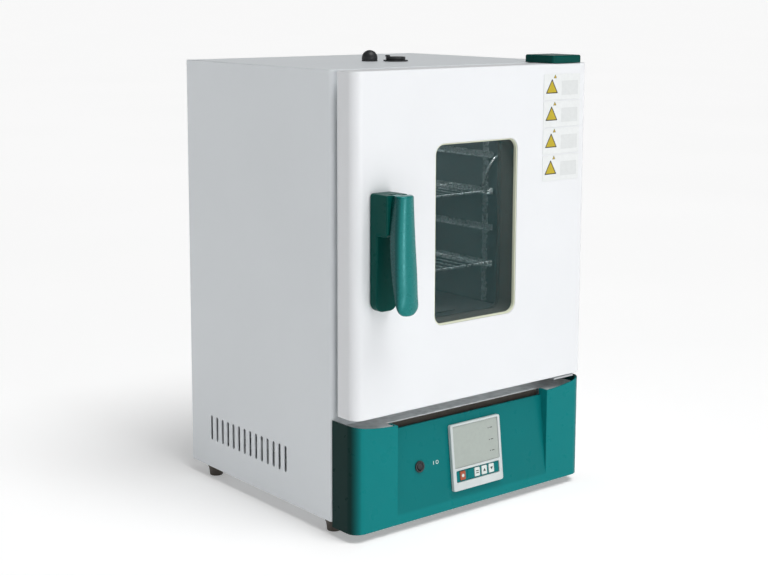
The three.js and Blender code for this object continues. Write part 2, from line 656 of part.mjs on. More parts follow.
// The lever hangs in front of the block from a tongue on the pivot pin, and curves away from the door.
function handleLever() {
  const { left, right, bottom, top, block } = HANDLE;
  const { pivotY, pivotZ, tongue, pinRadius } = LEVER;
  const back = -block - 0.5;
  const side = new THREE.Shape().moveTo(-60, top - 3)
    .quadraticCurveTo(-59.5, top, -56, top)
    .lineTo(back - 4, top)
    .lineTo(back, pivotZ)
    .lineTo(back, HANDLE.blockBottom + 14)
    .quadraticCurveTo(-44, bottom + 74, -61, bottom + 10)
    .lineTo(-62, bottom + 4)
    .quadraticCurveTo(-65, bottom, -69, bottom + 3)
    .quadraticCurveTo(-72, bottom + 24, -67.5, bottom + 74)
    .quadraticCurveTo(-62, top - 41, -60, top - 3);
  const frontView = rounded(left, right, bottom - 1, top + 1, [16, 16, 4, 4]);
  const middle = (left + right) / 2;
  const body = solid(across(side, left, right)).intersect(solid(reaching(frontView, -90, -20)));
  const ear = rodX(pivotY, pivotZ, middle - tongue / 2, middle + tongue / 2, 8, 24);
  const cap = box(middle - tongue / 2, middle + tongue / 2, pivotY - 8, pivotY + 5, pivotZ, top - 0.5);
  return joined([body, ear, cap]).subtract(rodX(pivotY, pivotZ, left - 5, right + 5, pinRadius + 0.3));
}

function handlePin() {
  const { left, right } = HANDLE;
  return rodX(LEVER.pivotY, LEVER.pivotZ, left + 5, right - 1, LEVER.pinRadius);
}

function latchBolt() {
  const { left, right, bottom, top, tip } = LATCH;
  const body = box(left - 4, right + 6, 20, 40.4, bottom - 2, top + 2);
  const noseOutline = polygon([[left, 39], [right, 39], [right, tip], [left + 4, tip], [left, tip - 6]]);
  return body.add(solid(upright(noseOutline, bottom, top)));
}

function strikePlate() {
  const { left, right, bottom, top, travel } = LATCH;
  const y1 = CASING.front - GAP;
  const plate = reaching(rounded(left - 5, right + travel + 4, bottom - 14, top + 14, 2), y1 - 1.8, y1);
  return solid(plate).subtract(latchSpace(y1 - 10, y1 + 5, 3));
}

function labelStrip() {
  const { left, right, bottom, top, thickness } = LABELS;
  return box(left, right, -0.2 - thickness, -0.2, bottom, top);
}

// ---- Electrics under the deck -------------------------------------------------------------------
function controlBoard() {
  const pillars = BOARD_PILLARS.map(([x, y]) => rodZ(x, y, PAN_FLOOR, 21, 3, 3, 12));
  const relays = [0, 1, 2].map((i) => box(-70 + i * 26, -52 + i * 26, 130, 158, 21, 38));
  const capacitors = [0, 1].map((i) => rodZ(28, 140 + i * 26, 21, 44, 8, 8, 16));
  const terminals = box(-74, 40, 186, 198, 21, 33);
  return joined([box(-90, 60, 110, 210, 20, 21.6), ...pillars, ...relays, ...capacitors, terminals]);
}

function transformer() {
  const core = box(100, 172, 130, 172, PAN_FLOOR + 3, 62).subtract(box(112, 160, 125, 177, 16, 50));
  const limb = box(128, 144, 130, 172, 10, 56);
  const winding = box(115, 157, 122, 180, 18.5, 47.5);
  const foot = box(92, 180, 138, 164, PAN_FLOOR, PAN_FLOOR + 4);
  return joined([core, limb, winding, foot]);
}

function solidStateRelay() {
  const floor = PAN_FLOOR;
  const base = box(-190, -120, 250, 330, floor, floor + 8);
  const fins = [0, 1, 2, 3, 4, 5, 6].map((i) => {
    const x = -190 + i * 11;
    return box(x, x + 3, 250, 330, floor + 7, floor + 34);
  });
  const block = box(-178, -132, 332, 392, floor, floor + 24);
  const bridge = box(-178, -132, 328, 334, floor, floor + 6);
  return joined([base, ...fins, block, bridge]);
}

// A three-pin appliance inlet with its socket open to the rear.
function mainsInlet() {
  const { x, z } = INLET;
  const back = REAR.coverBack;
  const inner = back - 24;
  const body = box(x - 14.3, x + 14.3, inner, back + 1, z - 10.3, z + 10.3);
  const flange = box(x - 20, x + 20, back + GAP, back + 1.7, z - 15, z + 15);
  const socket = box(x - 12, x + 12, inner + 8, back + 10, z - 8, z + 8);
  const pins = [[-7, -2], [7, -2], [0, 3]].map(([dx, dz]) => {
    const pinX = x + dx;
    const pinZ = z + dz;
    return box(pinX - 1, pinX + 1, inner + 7, inner + 19, pinZ - 2, pinZ + 2);
  });
  return joined([body.add(flange).subtract(socket), ...pins]);
}

// ---- Assembly -----------------------------------------------------------------------------------
piece("outer_casing", outerCasing(), CASING_PAINT);
piece("base_pan", basePan(), GALVANISED);
piece("rear_cover", rearCover(), CASING_PAINT);
addRearScrews();
piece("front_frame", frontFrame(), CASING_PAINT);
piece("compartment_deck", compartmentDeck(), GALVANISED);
addFeet();

piece("chamber_liner", chamberLiner(), STAINLESS);
piece("chamber_insulation", chamberInsulation(), WOOL);
piece("rack_left", rack(-1), STAINLESS);
piece("rack_right", rack(1), STAINLESS);
for (const [name, top] of Object.entries(SHELF_TOPS_OF_RUNNERS)) piece(name, wireShelf(top), STAINLESS);
piece("heater_element", heaterElement(), BARE_STEEL);
piece("heater_cover", heaterCover(), STAINLESS);
piece("temperature_probe", temperatureProbe(), STAINLESS);

piece("vent_tube", ventTube(), BLACK);
piece("vent_cover", ventCover(), BLACK);
piece("port_tube", portTube(), BLACK);
piece("port_stopper", portStopper(), BLACK);

piece("lower_front_panel", lowerFrontPanel(), TEAL);
piece("ledge_plate", ledgePlate(), GALVANISED);
addController();
addPowerSwitch();

piece("door_outer_shell", doorOuterShell(), WHITE_PAINT);
piece("door_inner_panel", doorInnerPanel(), STAINLESS);
piece("door_insulation", doorInsulation(), WOOL);
piece("window_trim", windowTrim(), CREAM);
piece("window_glass_outer", pane(6, 10), GLASS);
piece("window_glass_inner", pane(34, 38), GLASS);
piece("door_gasket", doorGasket(), SILICONE);
piece("label_strip", labelStrip(), STICKER);
piece("hinge_bush_upper", hingeBush(DOOR.top - 24, DOOR.top - 2.4), BARE_STEEL);
piece("hinge_bush_lower", hingeBush(DOOR.bottom + 2.4, DOOR.bottom + 24), BARE_STEEL);
piece("hinge_bracket_upper", upperHingeBracket(), BARE_STEEL);
piece("hinge_bracket_lower", lowerHingeBracket(), BARE_STEEL);
piece("hinge_cover", hingeCover(), DARK_TEAL);
piece("handle_base", handleBase(), DARK_TEAL);
piece("handle_lever", handleLever(), TEAL);
piece("handle_pin", handlePin(), BARE_STEEL);
piece("latch_bolt", latchBolt(), BARE_STEEL);
piece("strike_plate", strikePlate(), BARE_STEEL);

piece("control_board", controlBoard(), BOARD);
piece("transformer", transformer(), COPPER);
piece("solid_state_relay", solidStateRelay(), BARE_STEEL);
piece("mains_inlet", mainsInlet(), BLACK);

incubator.position.set(0, -MIDDLE_Y, FOOT_HEIGHT);

export default incubator;
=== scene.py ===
"""A bench-top laboratory incubator, finished for rendering around its CAD frame.

Shapes are drawn in millimetres, with Y measured back from the door's front face and Z up from the
casing's underside, as in the CAD source, and are moved into the row frame in metres at the end."""

import math

import bmesh
import bpy
from mathutils import Matrix, Vector


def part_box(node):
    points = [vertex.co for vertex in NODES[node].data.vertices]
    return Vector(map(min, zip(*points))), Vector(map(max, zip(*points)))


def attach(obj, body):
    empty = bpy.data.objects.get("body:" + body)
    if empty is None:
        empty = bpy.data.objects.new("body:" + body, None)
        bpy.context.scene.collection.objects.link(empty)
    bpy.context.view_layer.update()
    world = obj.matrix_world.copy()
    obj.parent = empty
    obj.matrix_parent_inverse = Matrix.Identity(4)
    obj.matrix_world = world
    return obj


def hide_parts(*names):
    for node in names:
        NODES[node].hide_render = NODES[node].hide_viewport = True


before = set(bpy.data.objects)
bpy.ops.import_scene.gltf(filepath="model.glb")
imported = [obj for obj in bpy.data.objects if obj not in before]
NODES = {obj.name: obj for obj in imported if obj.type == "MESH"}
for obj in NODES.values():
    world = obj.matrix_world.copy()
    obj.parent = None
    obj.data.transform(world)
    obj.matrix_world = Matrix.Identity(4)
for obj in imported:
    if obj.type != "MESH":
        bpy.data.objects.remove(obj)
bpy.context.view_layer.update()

MIDDLE_Y = 193.0
FOOT_HEIGHT = 20.0
TO_ROW = Matrix.Scale(0.001, 4) @ Matrix.Translation((0, -MIDDLE_Y, FOOT_HEIGHT))


def span(node):
    """A CAD node's box as (x0, x1, y0, y1, z0, z1), in drawing millimetres."""
    lo, hi = (TO_ROW.inverted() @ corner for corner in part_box(node))
    return lo.x, hi.x, lo.y, hi.y, lo.z, hi.z


# ---- Materials ----------------------------------------------------------------------------------


class Nodes:
    """A material's node tree, with short calls for the nodes that the finishes share."""

    def __init__(self, name):
        self.material = bpy.data.materials.new(name)
        self.material.use_nodes = True
        self.tree = self.material.node_tree
        self.shader = self.tree.nodes["Principled BSDF"]
        self.coordinates = self.tree.nodes.new("ShaderNodeTexCoord").outputs["Object"]

    def link(self, a, b):
        self.tree.links.new(a, b)

    def stretched(self, scale):
        mapping = self.tree.nodes.new("ShaderNodeMapping")
        mapping.inputs["Scale"].default_value = scale
        self.link(self.coordinates, mapping.inputs["Vector"])
        return mapping.outputs["Vector"]

    def noise(self, scale, detail=2.0, roughness=0.5, vector=None):
        node = self.tree.nodes.new("ShaderNodeTexNoise")
        node.inputs["Scale"].default_value = scale
        node.inputs["Detail"].default_value = detail
        node.inputs["Roughness"].default_value = roughness
        self.link(vector or self.coordinates, node.inputs["Vector"])
        return node.outputs["Fac"]

    def mapped(self, value, low, high, start=0.3, end=0.7):
        node = self.tree.nodes.new("ShaderNodeMapRange")
        node.inputs["From Min"].default_value = start
        node.inputs["From Max"].default_value = end
        node.inputs["To Min"].default_value = low
        node.inputs["To Max"].default_value = high
        self.link(value, node.inputs["Value"])
        return node.outputs["Result"]

    def colours(self, value, first, second, start=0.3, end=0.7):
        ramp = self.tree.nodes.new("ShaderNodeValToRGB")
        ramp.color_ramp.elements[0].position = start
        ramp.color_ramp.elements[0].color = (*first, 1)
        ramp.color_ramp.elements[1].position = end
        ramp.color_ramp.elements[1].color = (*second, 1)
        self.link(value, ramp.inputs["Fac"])
        self.link(ramp.outputs["Color"], self.shader.inputs["Base Color"])

    def axis(self, letter, kind="Object"):
        parts = self.tree.nodes.new("ShaderNodeSeparateXYZ")
        self.link(self.coordinates.node.outputs[kind], parts.inputs["Vector"])
        return parts.outputs[letter]

    def math(self, operation, *terms):
        node = self.tree.nodes.new("ShaderNodeMath")
        node.operation = operation
        for term, socket in zip(terms, node.inputs):
            if isinstance(term, float):
                socket.default_value = term
            else:
                self.link(term, socket)
        return node.outputs["Value"]

    def fade_to(self, colour, share):
        """Turns the colour so far into another one, by a share from 0 to 1."""
        mix = self.tree.nodes.new("ShaderNodeMix")
        mix.data_type = "RGBA"
        base = self.shader.inputs["Base Color"]
        self.link(base.links[0].from_socket, mix.inputs[6])
        mix.inputs[7].default_value = (*colour, 1)
        self.link(share, mix.inputs[0])
        self.link(mix.outputs[2], base)
        return self

    def painted_side_shade(self, colour, start, end, kind="Object"):
        """Painted shade: darker away from the middle plane, or where the surface faces sideways.
        """
        away = self.math("ABSOLUTE", self.axis("X", kind))
        return self.fade_to(colour, self.mapped(away, 0, 1, start, end))

    def rough(self, value, low, high):
        self.link(self.mapped(value, low, high), self.shader.inputs["Roughness"])

    def bump(self, height, distance, strength=1.0, under=None):
        node = self.tree.nodes.new("ShaderNodeBump")
        node.inputs["Distance"].default_value = distance
        node.inputs["Strength"].default_value = strength
        self.link(height, node.inputs["Height"])
        if under:
            self.link(under, node.inputs["Normal"])
        self.link(node.outputs["Normal"], self.shader.inputs["Normal"])
        return node.outputs["Normal"]

    def set(self, **values):
        for name, value in values.items():
            self.shader.inputs[name.replace("_", " ")].default_value = value
        return self.material


def shade(colour, factor):
    return tuple(min(1.0, c * factor) for c in colour)


# The lower panel's recess, in metres in the row frame: its sides and its sill, each as a narrow
# band over which its painted shade fades in.
RECESS_SIDES = (0.157, 0.1585)
RECESS_SILL = (0.027, 0.031)
RECESS_SHARE = 0.45
RECESS_SHADE_FACTOR = 0.62


def paint_recess_shade(n, colour):
    """Painted shade: darkens the middle of the lower panel, above the recess's sill."""
    inside = n.mapped(n.math("ABSOLUTE", n.axis("X")), RECESS_SHARE, 0, *RECESS_SIDES)
    raised = n.mapped(n.axis("Z"), 0, 1, *RECESS_SILL)
    n.fade_to(shade(colour, RECESS_SHADE_FACTOR), n.math("MULTIPLY", inside, raised))


def powder_coat(name, colour, rough, specular, side_shade=None):
    """Sprayed and baked paint: a slow waviness, fine orange peel, and a little uneven gloss.

    Only the lower panel has side shade: its ends and its recess get painted shade."""
    n = Nodes(name)
    n.colours(n.noise(5, 3), shade(colour, 0.985), shade(colour, 1.01))
    # Painted shade: the panel's ends and its recess are darkened.
    if side_shade:
        paint_recess_shade(n, colour)
        n.painted_side_shade(*side_shade)
    n.rough(n.noise(60, 4), rough - 0.04, rough + 0.05)
    waves = n.bump(n.noise(9, 1), 0.0004, 0.2)
    n.bump(n.noise(700, 2), 0.000012, 0.5, waves)
    return n.set(Specular_IOR_Level=specular)


def moulded(name, colour, rough, grain=900, depth=0.00002, specular=0.4, side_shade=None, behind=None,
            tint=(1, 1, 1, 1)):
    """Injection-moulded plastic with a fine grain, faint flow marks and rubbed patches."""
    n = Nodes(name)
    flow = n.noise(9, 3, 0.6, n.stretched((1, 1, 0.35)))
    n.colours(flow, shade(colour, 0.93), shade(colour, 1.06))
    # Painted shade where the surface faces sideways.
    if side_shade:
        n.painted_side_shade(*side_shade)
    if behind:
        n.fade_to(behind[0], n.mapped(n.axis("Y"), 0, 1, behind[1], behind[1] + 0.0006))
    n.rough(n.noise(85, 5, 0.65), rough - 0.06, rough + 0.09)
    n.bump(n.noise(grain, 2), depth, 0.5)
    return n.set(Specular_IOR_Level=specular, Specular_Tint=tint)


def brushed(name, colour, rough, along=(1, 60, 60), depth=0.00002):
    """Brushed sheet metal: long fine scratches with uneven gloss and a few handling marks."""
    n = Nodes(name)
    lines = n.noise(26, 5, 0.7, n.stretched(along))
    n.colours(lines, shade(colour, 0.86), shade(colour, 1.05))
    n.rough(lines, rough - 0.08, rough + 0.12)
    n.bump(lines, depth, 0.6)
    return n.set(Metallic=1.0, Anisotropic=0.5)


def spangled(name, colour, rough, metallic=0.85):
    """Zinc coating, with crystals of slightly different grey."""
    n = Nodes(name)
    cells = n.tree.nodes.new("ShaderNodeTexVoronoi")
    cells.inputs["Scale"].default_value = 90
    n.link(n.coordinates, cells.inputs["Vector"])
    value = cells.outputs["Distance"]
    n.colours(value, shade(colour, 0.8), shade(colour, 1.1), 0.1, 0.8)
    n.link(n.mapped(value, rough - 0.1, rough + 0.1, 0, 1), n.shader.inputs["Roughness"])
    n.bump(value, 0.00002, 0.4)
    return n.set(Metallic=metallic)


def rubbery(name, colour, rough):
    """Moulded rubber: matt, slightly pitted, with pale dust in patches."""
    n = Nodes(name)
    n.colours(n.noise(40, 6, 0.7), shade(colour, 0.8), shade(colour, 1.25))
    n.rough(n.noise(120, 3), rough - 0.06, rough + 0.08)
    n.bump(n.noise(600, 4, 0.7), 0.00008, 0.8)
    return n.set(Sheen_Weight=0.08)


def fibrous(name, colour):
    """Mineral wool: matted fibres."""
    n = Nodes(name)
    fibres = n.noise(55, 8, 0.75, n.stretched((1, 1, 6)))
    n.colours(fibres, shade(colour, 0.6), shade(colour, 1.15), 0.25, 0.7)
    n.rough(fibres, 0.9, 1.0)
    n.bump(fibres, 0.0015, 1.0)
    return n.material


def clear_glass(name, colour, alpha):
    """Toughened glass, with faint wiping marks in its gloss."""
    n = Nodes(name)
    smears = n.noise(12, 6, 0.7, n.stretched((1, 1, 0.3)))
    n.colours(smears, shade(colour, 0.9), shade(colour, 1.1))
    n.rough(smears, 0.02, 0.1)
    n.bump(n.noise(5, 1), 0.0004, 0.2)
    return n.set(Alpha=alpha, IOR=1.5, Specular_IOR_Level=0.5)


def printed(name, colour, rough=0.45):
    """Printed film: even colour with a faint mottle under a smooth varnish."""
    n = Nodes(name)
    n.colours(n.noise(160, 3), shade(colour, 0.97), shade(colour, 1.02))
    n.rough(n.noise(40, 3), rough - 0.06, rough + 0.06)
    n.bump(n.noise(300, 1), 0.00001, 0.4)
    return n.material


MAT = {
    "white_paint": powder_coat("white_paint", (0.785, 0.8, 0.82), 0.38, 0.4),
    "casing_paint": powder_coat("casing_paint", (0.765, 0.8, 0.825), 0.42, 0.4),
    # The lower panel: painted shade darkens its rounded ends and its recess.
    "teal_panel": powder_coat("teal_panel", (0.004, 0.19, 0.195), 0.3, 0.07,
                              ((0.002, 0.025, 0.022), 0.226, 0.2385)),
    "dark_teal_plastic": moulded("dark_teal_plastic", (0.001, 0.06, 0.05), 0.3, specular=0.07),
    # The lever: painted shade darkens its faces that turn sideways.
    "teal_plastic": moulded("teal_plastic", (0.004, 0.15, 0.14), 0.27, specular=0.65,
                            side_shade=((0.001, 0.04, 0.036), 0.55, 0.85, "Normal"),
                            tint=(0.35, 0.85, 0.9, 1)),
    "stainless": brushed("stainless", (0.6, 0.63, 0.63), 0.34),
    "dim_stainless": brushed("dim_stainless", (0.36, 0.42, 0.43), 0.36),
    "galvanised": spangled("galvanised", (0.4, 0.42, 0.43), 0.5),
    "ledge_zinc": spangled("ledge_zinc", (0.66, 0.68, 0.68), 0.45, 0.2),
    "steel": brushed("steel", (0.56, 0.58, 0.6), 0.36, (40, 40, 3)),
    "cream_trim": moulded("cream_trim", (0.74, 0.76, 0.6), 0.5, 500, specular=0.2,
                          behind=((0.12, 0.13, 0.12), -0.1868)),
    "silicone": rubbery("silicone", (0.62, 0.6, 0.55), 0.6),
    "mineral_wool": fibrous("mineral_wool", (0.68, 0.57, 0.34)),
    "black_rubber": rubbery("black_rubber", (0.06, 0.05, 0.04), 0.75),
    "black_plastic": moulded("black_plastic", (0.024, 0.026, 0.028), 0.42, 700, 0.00005),
    "silver_plastic": moulded("silver_plastic", (0.56, 0.6, 0.6), 0.36, 1200, 0.00002),
    "lcd": printed("lcd", (0.36, 0.4, 0.37), 0.2),
    "red_key": moulded("red_key", (0.36, 0.075, 0.03), 0.45),
    "pale_key": moulded("pale_key", (0.62, 0.67, 0.65), 0.45),
    "glass": clear_glass("glass", (0.006, 0.045, 0.047), 0.16),
    "sticker": printed("sticker", (0.76, 0.78, 0.78)),
    "circuit_board": moulded("circuit_board", (0.02, 0.16, 0.06), 0.4, 400),
    "copper_winding": brushed("copper_winding", (0.5, 0.2, 0.08), 0.35, (3, 80, 80)),
    "amber_print": printed("amber_print", (0.5, 0.38, 0.01)),
    "dark_print": printed("dark_print", (0.02, 0.022, 0.022)),
    "grey_print": printed("grey_print", (0.68, 0.7, 0.7)),
    "bright_wire": brushed("bright_wire", (0.86, 0.9, 0.9), 0.26, (6, 6, 6)),
    "pale_print": printed("pale_print", (0.6, 0.68, 0.65)),
}


# ---- Mesh code ----------------------------------------------------------------------------------


def new_object(name, mesh):
    obj = bpy.data.objects.new(name, mesh)
    bpy.context.scene.collection.objects.link(obj)
    return obj


def evaluated(obj):
    """A plain mesh of what the object shows, which takes the object's place."""
    bpy.context.view_layer.update()
    shown = obj.evaluated_get(bpy.context.evaluated_depsgraph_get())
    mesh = bpy.data.meshes.new_from_object(shown)
    name = obj.name
    bpy.data.objects.remove(obj)
    made = new_object(name, mesh)
    made.name = name
    return made


def merged(obj, distance=0.001):
    bm = bmesh.new()
    bm.from_mesh(obj.data)
    bmesh.ops.remove_doubles(bm, verts=bm.verts, dist=distance)
    bmesh.ops.recalc_face_normals(bm, faces=bm.faces)
    bm.to_mesh(obj.data)
    bm.free()
    return obj


def from_bmesh(name, bm):
    bmesh.ops.recalc_face_normals(bm, faces=bm.faces)
    mesh = bpy.data.meshes.new(name)
    bm.to_mesh(mesh)
    bm.free()
    return new_object(name, mesh)


def arc(centre, radius, start, end, steps):
    turns = [start + (end - start) * i / steps for i in range(steps + 1)]
    return [(centre[0] + radius * math.cos(t), centre[1] + radius * math.sin(t)) for t in turns]


def rounded(a0, a1, b0, b1, radii, steps=8):
    """A rectangle with its own radius at each corner, from the low corner counter-clockwise."""
    r = radii if isinstance(radii, (list, tuple)) else [radii] * 4
    corners = [(a0, b0, 1, 1), (a1, b0, -1, 1), (a1, b1, -1, -1), (a0, b1, 1, -1)]
    points = []
    for i, (a, b, sa, sb) in enumerate(corners):
        if r[i] <= 0:
            points.append((a, b))
            continue
        start = math.pi + i * math.pi / 2
        points += arc((a + sa * r[i], b + sb * r[i]), r[i], start, start + math.pi / 2, steps)
    return points


def circle(a, b, radius, steps=32):
    return arc((a, b), radius, 0, 2 * math.pi * (1 - 1 / steps), steps - 1)


PLANES = {
    "xy": Matrix.Identity(4),
    "xz": Matrix.Rotation(math.pi / 2, 4, "X"),
    "yz": Matrix(((0, 0, 1, 0), (1, 0, 0, 0), (0, 1, 0, 0), (0, 0, 0, 1))),
}
DEPTH_SIGN = {"xy": 1, "xz": -1, "yz": 1}


def plate(name, outline, plane, low, high, bevel=1.0, holes=(), steps=3):
    """An outline with holes, made solid from low to high across its plane, its edges rounded."""
    curve = bpy.data.curves.new(name, "CURVE")
    curve.dimensions = "2D"
    curve.fill_mode = "BOTH"
    curve.extrude = (high - low) / 2 - bevel
    curve.bevel_depth = bevel
    curve.bevel_resolution = steps
    curve.offset = -bevel
    for points, hole in [(outline, False)] + [(h, True) for h in holes]:
        spline = curve.splines.new("POLY")
        spline.points.add(len(points) - 1)
        for place, (a, b) in zip(spline.points, reversed(points) if hole else points):
            place.co = (a, b, 0, 1)
        spline.use_cyclic_u = True
    obj = merged(evaluated(new_object(name, curve)))
    middle = DEPTH_SIGN[plane] * (low + high) / 2
    obj.data.transform(PLANES[plane] @ Matrix.Translation((0, 0, middle)))
    return obj


def sharp(name, outline, plane, low, high, holes=()):
    """A plate with its edges as good as sharp, for cutting and for printed marks."""
    return plate(name, outline, plane, low, high, 0.01, holes, steps=0)


def block(name, x0, x1, y0, y1, z0, z1, bevel=0.6):
    return plate(name, [(x0, y0), (x1, y0), (x1, y1), (x0, y1)], "xy", z0, z1, bevel, steps=2)


def loft(name, rings):
    """A closed skin over rings of points, which all have the same number of points."""
    bm = bmesh.new()
    rows = [[bm.verts.new(p) for p in ring] for ring in rings]
    for a, b in zip(rows, rows[1:]):
        for i in range(len(a)):
            j = (i + 1) % len(a)
            bm.faces.new((a[i], a[j], b[j], b[i]))
    bm.faces.new(rows[0])
    bm.faces.new(rows[-1])
    return from_bmesh(name, bm)


def turned(name, profile, place, steps=48):
    """A shape turned about a vertical axis, from (radius, height) pairs up its outside."""
    rings = []
    for radius, height in profile:
        r = max(radius, 0.02)
        turns = [2 * math.pi * i / steps for i in range(steps)]
        rings.append([(place[0] + r * math.cos(t), place[1] + r * math.sin(t), place[2] + height)
                      for t in turns])
    return loft(name, rings)


def smooth_path(points, per_span=8):
    """Points along a Catmull-Rom curve through the given ones."""
    ends = [2 * points[0] - points[1], *points, 2 * points[-1] - points[-2]]
    path = []
    for i in range(1, len(ends) - 2):
        p0, p1, p2, p3 = ends[i - 1:i + 3]
        for step in range(per_span):
            t = step / per_span
            path.append(0.5 * (2 * p1 + (p2 - p0) * t + (2 * p0 - 5 * p1 + 4 * p2 - p3) * t * t
                               + (3 * p1 - p0 - 3 * p2 + p3) * t ** 3))
    return path + [points[-1]]


def tube(name, paths, radius, steps=3):
    """Round rods along paths of points, with closed ends."""
    curve = bpy.data.curves.new(name, "CURVE")
    curve.dimensions = "3D"
    curve.bevel_depth = radius
    curve.bevel_resolution = steps
    curve.use_fill_caps = True
    for path in paths:
        spline = curve.splines.new("POLY")
        spline.points.add(len(path) - 1)
        for place, p in zip(spline.points, path):
            place.co = (*p, 1)
    return merged(evaluated(new_object(name, curve)), 0.0001)


def combined(obj, others, operation):
    """The object cut by, or joined with, the others, which are used up."""
    for other in others:
        change = obj.modifiers.new("change", "BOOLEAN")
        change.operation = operation
        change.solver = "EXACT"
        change.object = other
    made = evaluated(obj)
    for other in others:
        bpy.data.objects.remove(other)
    return made


def cut(obj, cutters):
    return combined(obj, cutters, "DIFFERENCE")


def joined(obj, others):
    return combined(obj, others, "UNION")


def together(name, objects):
    """Several closed shapes in one mesh, which uses them up."""
    bm = bmesh.new()
    for obj in objects:
        bm.from_mesh(obj.data)
        bpy.data.objects.remove(obj)
    return from_bmesh(name, bm)


def eased(obj, width, angle=35):
    """The object with its sharp edges rounded over."""
    bevel = obj.modifiers.new("eased", "BEVEL")
    bevel.width = width
    bevel.segments = 2
    bevel.limit_method = "ANGLE"
    bevel.angle_limit = math.radians(angle)
    return evaluated(obj)


def smooth(obj, angle=38):
    obj.data.shade_smooth()
    obj.data.set_sharp_from_angle(angle=math.radians(angle))
    normals = obj.modifiers.new("normals", "WEIGHTED_NORMAL")
    normals.keep_sharp = True
    return obj


def keep(obj, name, finish, body, nodes=(), place=None):
    """Finishes a piece: its place, material, body, and the CAD nodes that it stands for."""
    obj.data.transform(TO_ROW @ (place or Matrix.Identity(4)))
    obj.name = obj.data.name = name
    obj.data.materials.clear()
    obj.data.materials.append(MAT[finish])
    smooth(obj)
    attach(obj, body)
    if nodes:
        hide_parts(*nodes)
    return obj


# ---- Casing -------------------------------------------------------------------------------------
SHEET = 2.0
LIP = 14.0
SLOTS = {"count": 14, "first": 177.0, "pitch": 16.4, "width": 6.5, "bottom": 48.5, "top": 90.5}
VENT = {"x": 5.0, "y": 207.0, "radius": 10.5, "cover": 16.0, "pivot": (-7.0, 213.0)}
PORT = {"x": -29.0, "y": 232.0, "radius": 9.5, "dome": 12.8}


def slot_cutters(x0, x1):
    cutters = []
    for i in range(SLOTS["count"]):
        y = SLOTS["first"] + i * SLOTS["pitch"]
        half = SLOTS["width"] / 2
        shape = rounded(y - half, y + half, SLOTS["bottom"], SLOTS["top"], half - 0.05, 5)
        cutters.append(sharp("slot", shape, "yz", x0, x1))
    return cutters


def make_casing():
    x0, x1, y0, y1, z0, z1 = span("outer_casing")
    shell = plate("casing", rounded(x0, x1, y0, y1, [8, 8, 0.8, 0.8], 8), "xy", z0, z1, 1.6)
    inside = rounded(x0 + SHEET, x1 - SHEET, y0 + SHEET, y1 - SHEET, [6, 6, 1, 1], 6)
    hollow = sharp("hollow", inside, "xy", z0 - 5, z1 - SHEET)
    openings = [
        block("mouth", x0 + LIP, x1 - LIP, y0 - 5, y0 + 10, z0 - 5, z1 - LIP - 6, 0.01),
        block("rear", x0 + LIP, x1 - LIP, y1 - 10, y1 + 5, 8, z1 - LIP, 0.01),
        *[sharp("hole", circle(hole["x"], hole["y"], hole["radius"]), "xy", z1 - 9, z1 + 5)
          for hole in (VENT, PORT)],
        *slot_cutters(x0 - 3, x0 + 4),
        *slot_cutters(x1 - 4, x1 + 3),
    ]
    shell = cut(shell, [hollow, *openings])
    keep(shell, "casing", "casing_paint", "cabinet", ["outer_casing"])


def make_rear_cover():
    x0, x1, y0, y1, z0, z1 = span("rear_cover")
    cover = plate("rear", rounded(x0, x1, z0, z1, 4), "xz", y0, y1, 0.5)
    louvres = []
    for row in range(8):
        z = 40 + row * 12
        shape = rounded(-120, -30, z, z + 4, 1.9, 4)
        louvres.append(sharp("louvre", shape, "xz", y0 - 3, y1 + 3))
    ix0, ix1, _, _, iz0, iz1 = span("mains_inlet")
    inlet = block("inlet", ix0 + 5.2, ix1 - 5.2, y0 - 3, y1 + 3, iz0 + 4.2, iz1 - 4.2, 0.01)
    cover = cut(cover, [*louvres, inlet])
    keep(cover, "rear_panel", "casing_paint", "cabinet", ["rear_cover"])


def make_rear_screws():
    for i in range(1, 5):
        x0, x1, y0, y1, z0, z1 = span(f"rear_screw_{i}")
        r = (x1 - x0) / 2
        profile = [(2.2, 0), (2.2, y1 - y0 - 1.5), (r, y1 - y0 - 1.4), (r, y1 - y0 - 0.7)]
        profile += [(r * math.cos(t), y1 - y0 - 0.7 + 0.7 * math.sin(t)) for t in (0.5, 1.0, 1.5)]
        screw = turned("screw", profile, (0, 0, 0), 32)
        slots = [block("bar", -3, 3, -0.5, 0.5, y1 - y0 - 0.6, y1 - y0 + 2, 0.01),
                 block("bar", -0.5, 0.5, -3, 3, y1 - y0 - 0.6, y1 - y0 + 2, 0.01)]
        screw = cut(screw, slots)
        turn = Matrix.Translation(((x0 + x1) / 2, y0, (z0 + z1) / 2)) @ Matrix.Rotation(
            -math.pi / 2, 4, "X")
        keep(screw, f"screw_{i}", "steel", "cabinet", [f"rear_screw_{i}"], turn)


def make_feet():
    for end in ("front", "rear"):
        for side in ("left", "right"):
            node = f"foot_{end}_{side}"
            x0, x1, y0, y1, z0, z1 = span(node)
            h, r = z1 - z0, (x1 - x0) / 2
            profile = [(6, 0.8), (8.5, 0.8), (9.2, 0), (10.4, 0), (11, 0.7), (11.6, h * 0.35),
                       (12.4, h * 0.6), (r - 0.5, h - 4), (r, h - 3), (r, h - 0.4), (r - 0.6, h)]
            foot = turned("foot", profile, ((x0 + x1) / 2, (y0 + y1) / 2, z0), 40)
            keep(foot, f"rubber_{node}", "black_rubber", "cabinet", [node])


